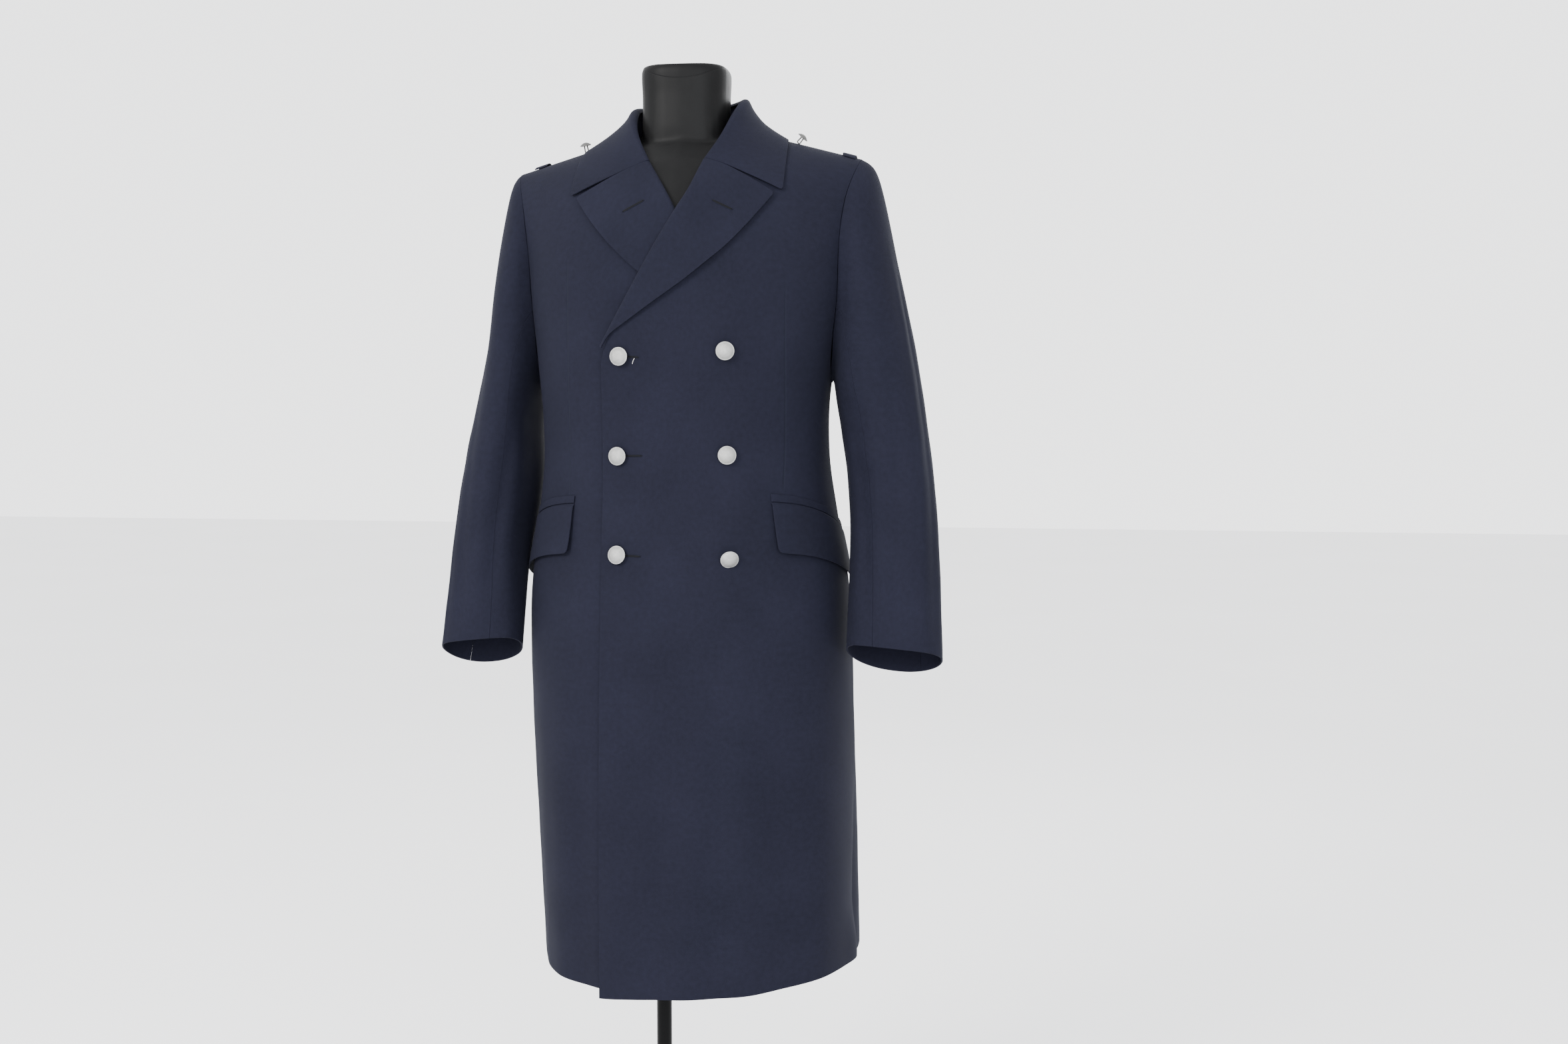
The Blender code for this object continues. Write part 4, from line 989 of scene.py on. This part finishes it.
def strandPiece(name, lines, radius, rounds, gap, closed=False):
    # one mesh from smooth strands, each a list of points and of radius factors
    curve = bpy.data.curves.new(name, "CURVE")
    curve.dimensions = "3D"
    curve.bevel_depth = radius
    curve.bevel_resolution = rounds
    curve.use_fill_caps = not closed
    for points, factors in lines:
        spline = curve.splines.new("POLY")
        spline.points.add(len(points) - 1)
        spline.use_cyclic_u = closed
        for target, point, factor in zip(spline.points, points, factors):
            target.co = (*point, 1.0)
            target.radius = factor
    strand = bpy.data.objects.new(name, curve)
    addToScene(strand)
    selectOnly(strand)
    bpy.ops.object.convert(target="MESH")
    piece = bpy.context.object
    joinCorners(gap, outward=True)
    piece.data.shade_smooth()
    return piece


def threadPiece(name, line, radius, material, closed=False):
    piece = strandPiece(name, [line], radius, 1, coat["threadGap"], closed)
    dress(piece, material)
    return piece


buttonhole = {
    "half": 0.0011,
    "thread": 0.00050,
    "thin": 0.72,
    "steps": 64,
    "lift": 0.00022,
    "slitShade": 0.00105,
    "slitLift": -0.00025,
    "slitSteps": 12,
}


def ribbedLoop(finder, start, end):
    # worked stitches round a slit: thick and thin by turns
    (x0, z0), (x1, z1) = start, end
    length = math.hypot(x1 - x0, z1 - z0)
    alongX, alongZ = (x1 - x0) / length, (z1 - z0) / length
    points, factors = [], []
    for step in range(buttonhole["steps"]):
        turn = 2 * math.pi * step / buttonhole["steps"]
        along = length / 2 * (1.0 + math.copysign(abs(math.cos(turn)) ** 0.35, math.cos(turn)))
        aside = buttonhole["half"] * math.copysign(abs(math.sin(turn)) ** 0.7, math.sin(turn))
        x = x0 + alongX * along - alongZ * aside
        z = z0 + alongZ * along + alongX * aside
        points.append(faceAt(finder, x, z, buttonhole["lift"]))
        factors.append(1.0 if step % 2 else buttonhole["thin"])
    return points, factors


# each slit is a dark strand sunk just under the cloth's face along the buttonhole: painted shadow of the
# slit's opening
def slitShadowLine(finder, start, end):
    points = []
    for step in range(buttonhole["slitSteps"] + 1):
        part = 0.04 + 0.92 * step / buttonhole["slitSteps"]
        x = start[0] + (end[0] - start[0]) * part
        z = start[1] + (end[1] - start[1]) * part
        points.append(faceAt(finder, x, z, buttonhole["slitLift"]))
    return points, [1.0] * len(points)


# buttonholes: piece they are worked in, and the two ends in row metres across and up
buttonholes = {
    "lapel_hole_right": ("right_lapel", (-0.0196, 1.3515), (0.0068, 1.3657)),
    "lapel_hole_left": ("left_lapel", (0.0919, 1.3646), (0.1172, 1.3527)),
    "front_hole_top": ("left_front", (-0.0182, 1.1748), (0.0050, 1.1735)),
    "front_hole_middle": ("left_front", (-0.0234, 1.0525), (0.0070, 1.0532)),
    "front_hole_bottom": ("left_front", (-0.0224, 0.9307), (0.0068, 0.9300)),
}
worked = {}
for name, (owner, start, end) in buttonholes.items():
    finder = faceFinder(clothPieces[owner])
    loop = threadPiece(name, ribbedLoop(finder, start, end), buttonhole["thread"], navyThread, closed=True)
    # a dark strand along the slit: painted shadow
    slitShade = threadPiece(name + "_slit", slitShadowLine(finder, start, end), buttonhole["slitShade"], slitShadow)
    worked.setdefault(owner, []).extend((loop, slitShade))

# one loose tacking stitch beside the top button: row metres across and up, and lift off the cloth
tackRadius = 0.00032
tackPath = (
    (-0.0030, 1.1655, 0.0002),
    (-0.0024, 1.1680, 0.0006),
    (-0.0014, 1.1705, 0.0006),
    (-0.0002, 1.1722, 0.0002),
)
finder = faceFinder(clothPieces["left_front"])
tack = ([faceAt(finder, *place) for place in tackPath], [1.0] * len(tackPath))
worked["left_front"].append(threadPiece("tacking_stitch", tack, tackRadius, whiteThread))
print("buttonholes worked")
# buttons: a pebbled dome with a rim, its back plate and a wire shank


def turnedPiece(name, profile, steps):
    # a profile of (radius, height) from the crown down the outer side, spun round Z
    bpy.ops.object.select_all(action="DESELECT")
    bpy.ops.mesh.primitive_circle_add(vertices=len(profile), radius=0.01, fill_type="NOTHING")
    piece = bpy.context.object
    piece.name = name
    for vertex, (radius, height) in zip(piece.data.vertices, profile):
        vertex.co = (radius, 0.0, height)
    last = len(profile) - 1
    setMode("EDIT")
    bpy.ops.mesh.select_mode(type="EDGE")
    bpy.ops.mesh.select_all(action="DESELECT")
    setMode("OBJECT")
    for edge in piece.data.edges:
        edge.select = set(edge.vertices) == {0, last}
    setMode("EDIT")
    bpy.ops.mesh.delete(type="EDGE")
    bpy.ops.mesh.select_all(action="SELECT")
    bpy.ops.mesh.spin(steps=steps, angle=2 * math.pi, center=(0.0, 0.0, 0.0), axis=(0.0, 0.0, 1.0))
    bpy.ops.mesh.select_mode(type="VERT")
    joinCorners(coat["joinGap"], outward=True)
    piece.data.shade_smooth()
    return piece


def arcPoints(middle, radius, start, end, steps):
    points = []
    for step in range(steps + 1):
        turn = math.radians(start + (end - start) * step / steps)
        points.append((middle[0] + radius * math.cos(turn), middle[1] + radius * math.sin(turn)))
    return points


frontButton = {"radius": 0.0114, "crown": 0.0055, "rimRound": 0.0006, "shank": 0.0028, "wire": 0.00075}
shoulderButton = {"radius": 0.0073, "crown": 0.0040, "rimRound": 0.0006, "shank": 0.0095, "wire": 0.00085}


def buttonProfile(sizes):
    # crown, rolled rim with a small step inside it, flat back
    radius, crown, rim = sizes["radius"], sizes["crown"], sizes["rimRound"]
    ball = (radius**2 + crown**2) / (2 * crown)
    dome = []
    inside = radius - 2.2 * rim
    for step in range(11):
        across = inside * step / 10
        dome.append((across, math.sqrt(ball**2 - across**2) - ball + crown))
    rolled = arcPoints((radius - rim, rim), rim, 120, -90, 8)
    back = [(radius * 0.55, 0.0), (radius * 0.5, -0.0003), (radius * 0.22, -0.0004), (0.0, -0.0004)]
    return dome + rolled + back


def shankPiece(name, sizes):
    # a wire loop whose legs go into the back plate
    wire = sizes["wire"]
    half = min(0.0024, sizes["shank"] * 0.5)
    foot = -sizes["shank"] + wire
    points = [(-half * 0.75, 0.0, 0.0)]
    for step in range(9):
        turn = math.pi + math.pi * step / 8
        points.append((half * math.cos(turn), 0.0, foot + half * 0.6 * (1.0 + math.sin(turn))))
    points.append((half * 0.75, 0.0, 0.0))
    return strandPiece(name, [(points, [1.0] * len(points))], wire, 3, coat["wireGap"])


def buttonPlace(node, crown):
    # the middles of crown and foot meet the most edges, and the crown's ring gives the way out
    shape = bmesh.new()
    shape.from_mesh(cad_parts[node].data)
    bmesh.ops.remove_doubles(shape, verts=shape.verts[:], dist=coat["wireGap"])
    middle = Vector((coat["middleX"], 0.0, 1.0))
    ends = sorted(shape.verts, key=lambda vert: -len(vert.link_edges))[:2]
    top = max(ends, key=lambda vert: (vert.co - middle).length)
    ring = [edge.other_vert(top).co for edge in top.link_edges]
    wayOut = (top.co - sum(ring, Vector()) / len(ring)).normalized()
    place = top.co - wayOut * crown
    shape.free()
    turn = wayOut.to_track_quat("Z", "Y").to_matrix().to_4x4()
    return Matrix.Translation(place) @ turn


# the lower left button hangs from its shank: degrees, and the axis it has turned about
hanging = {"button_left_bottom": (48.0, (0.92, 0.0, 0.39))}


def makeButton(node, sizes, turnDegrees, face, wire):
    place = buttonPlace(node, sizes["crown"]) @ Matrix.Rotation(math.radians(turnDegrees), 4, "Z")
    if node in hanging:
        degrees, axis = hanging[node]
        foot = place @ Vector((0.0, 0.0, -sizes["shank"]))
        lean = Matrix.Rotation(math.radians(degrees), 4, Vector(axis))
        place = Matrix.Translation(foot) @ lean @ Matrix.Translation(-foot) @ place
    here = place.translation
    rise = raiseShoulder(np.array([here]))[0, 2] - here.z
    place = Matrix.Translation((0.0, 0.0, rise)) @ place
    dome = turnedPiece(node + "_dome", buttonProfile(sizes), 48)
    shank = shankPiece(node + "_shank", sizes)
    for piece, material in ((dome, face), (shank, wire)):
        piece.data.transform(place)
        dress(piece, material)
    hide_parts(node)


buttonTurns = {"right_top": 12, "right_middle": 80, "right_bottom": 33}
buttonTurns |= {"left_top": 140, "left_middle": 64, "left_bottom": 100}
for word, turn in buttonTurns.items():
    makeButton("button_" + word, frontButton, turn, silver, brightWire)
# the shoulder buttons, dome and shank, take the darkened silver: painted shade
for word, turn in (("right", 20), ("left", 75)):
    makeButton("shoulder_button_" + word, shoulderButton, turn, paintedShadeSilver, paintedShadeSilver)
print("buttons made")


# the dress form: one smooth padded body with its neck block


def makeForm():
    piece = copyNode("dress_form", "dress_form_cover")
    selectOnly(piece)
    bpy.ops.mesh.customdata_custom_splitnormals_clear()
    joinCorners(coat["joinGap"])
    even = piece.modifiers.new("even", "REMESH")
    even.mode = "VOXEL"
    even.voxel_size = form["voxel"]
    soft = piece.modifiers.new("soft", "SMOOTH")
    soft.factor = 0.5
    soft.iterations = form["rounds"]
    applyAll(piece)
    points = readPoints(piece)
    # the neck block's top is slightly hollow and its front a little fuller down the middle
    across = (points[:, 0] - form["neckX"]) / form["neckHalf"]
    top = smoothSteps(points[:, 2], form["neckTop"] - form["topRim"], form["neckTop"])
    points[:, 2] -= top * form["topHollow"] * np.clip(1.0 - across**2, 0.0, 1.0)
    block = smoothSteps(points[:, 2], *form["neckFoot"])
    full = np.clip(1.0 - (across / form["fullWidth"]) ** 2, 0.0, 1.0)
    points[:, 1] -= block * (points[:, 1] < -0.02) * form["fullness"] * full
    height, half = form["neckLevel"]
    level = np.abs(points[:, 2] - height) < half
    reach = np.abs(points[level, 0] - form["neckX"]).max()
    points[:, 0] += (points[:, 0] - form["neckX"]) * block * (form["neckShown"] / reach - 1.0)
    writePoints(piece, points)
    piece.data.shade_smooth()
    dress(piece, stretchCover)
    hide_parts("dress_form")


makeForm()


def makeStand():
    low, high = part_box("stand_pole")
    radius = (high.x - low.x) / 2
    edge = 0.0008
    pole = turnedPiece(
        "stand_tube",
        [(0.0, high.z)]
        + arcPoints((radius - edge, high.z - edge), edge, 90, 0, 4)
        + arcPoints((radius - edge, low.z + edge), edge, 0, -90, 4)
        + [(0.0, low.z)],
        48,
    )
    dress(pole, blackPaint)
    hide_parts("stand_pole")
    _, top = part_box("stand_base")
    profile = [(0.0, top.z), (0.0108, top.z)]
    profile += arcPoints((0.0160, top.z - 0.0024), 0.0024, 90, 12, 6)
    profile += [(0.0188, 0.0250)]
    profile += arcPoints((0.0300, 0.0245), 0.0110, 180, 262, 10)
    profile += [(0.0600, 0.0126), (0.1100, 0.0116), (0.1600, 0.0106)]
    profile += arcPoints((top.x - 0.0050, 0.0052), 0.0050, 78, -20, 8)
    profile += arcPoints((top.x - 0.0034, 0.0016), 0.0016, -10, -90, 4)
    profile += [(0.0, 0.0)]
    base = turnedPiece("stand_plate", profile, 128)
    dress(base, blackPaint)
    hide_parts("stand_base")


makeStand()
print("form and stand made")


# floor and light


studio = {
    "floor": 24.0,
    "pale": (0.78, 0.78, 0.785, 1.0),
    "paler": (0.83, 0.83, 0.835, 1.0),
    "room": (0.80, 0.805, 0.815, 1.0),
    "strength": 3.5,
}
# name, place, aim, size, power and colour
lamps = (
    ("keyLight", (-1.7, -2.6, 2.6), (0.03, 0.0, 1.0), 1.1, 170.0, (1.0, 0.985, 0.96)),
    ("fillLight", (1.2, -3.3, 1.6), (0.03, 0.0, 0.95), 2.2, 122.0, (0.94, 0.97, 1.0)),
    ("backLight", (0.6, 2.6, 2.4), (0.03, 0.0, 1.1), 1.8, 26.0, (0.96, 0.98, 1.0)),
)


def makeStudio():
    bpy.ops.object.select_all(action="DESELECT")
    bpy.ops.mesh.primitive_plane_add(size=studio["floor"], location=(0.0, 0.0, 0.0))
    floor = bpy.context.object
    floor.name = "studio_floor"
    material, tree, shader = newMaterial("paleFloor")
    cloud = addNoise(tree, placeNode(tree, "Object"), 1.3, 4.0)
    tree.links.new(addMix(tree, cloud, studio["pale"], studio["paler"]), shader.inputs["Base Color"])
    shader.inputs["Roughness"].default_value = 0.85
    floor.data.materials.append(material)
    world = bpy.data.worlds.new("paleRoom")
    world.use_nodes = True
    sky = world.node_tree.nodes["Background"]
    sky.inputs["Color"].default_value = studio["room"]
    sky.inputs["Strength"].default_value = studio["strength"]
    bpy.context.scene.world = world
    for name, place, aim, size, power, colour in lamps:
        lamp = bpy.data.lights.new(name, "AREA")
        lamp.size = size
        lamp.energy = power
        lamp.color = colour
        holder = bpy.data.objects.new(name, lamp)
        holder.location = place
        holder.rotation_euler = (Vector(aim) - Vector(place)).to_track_quat("-Z", "Y").to_euler()
        addToScene(holder)


makeStudio()
print("studio made")
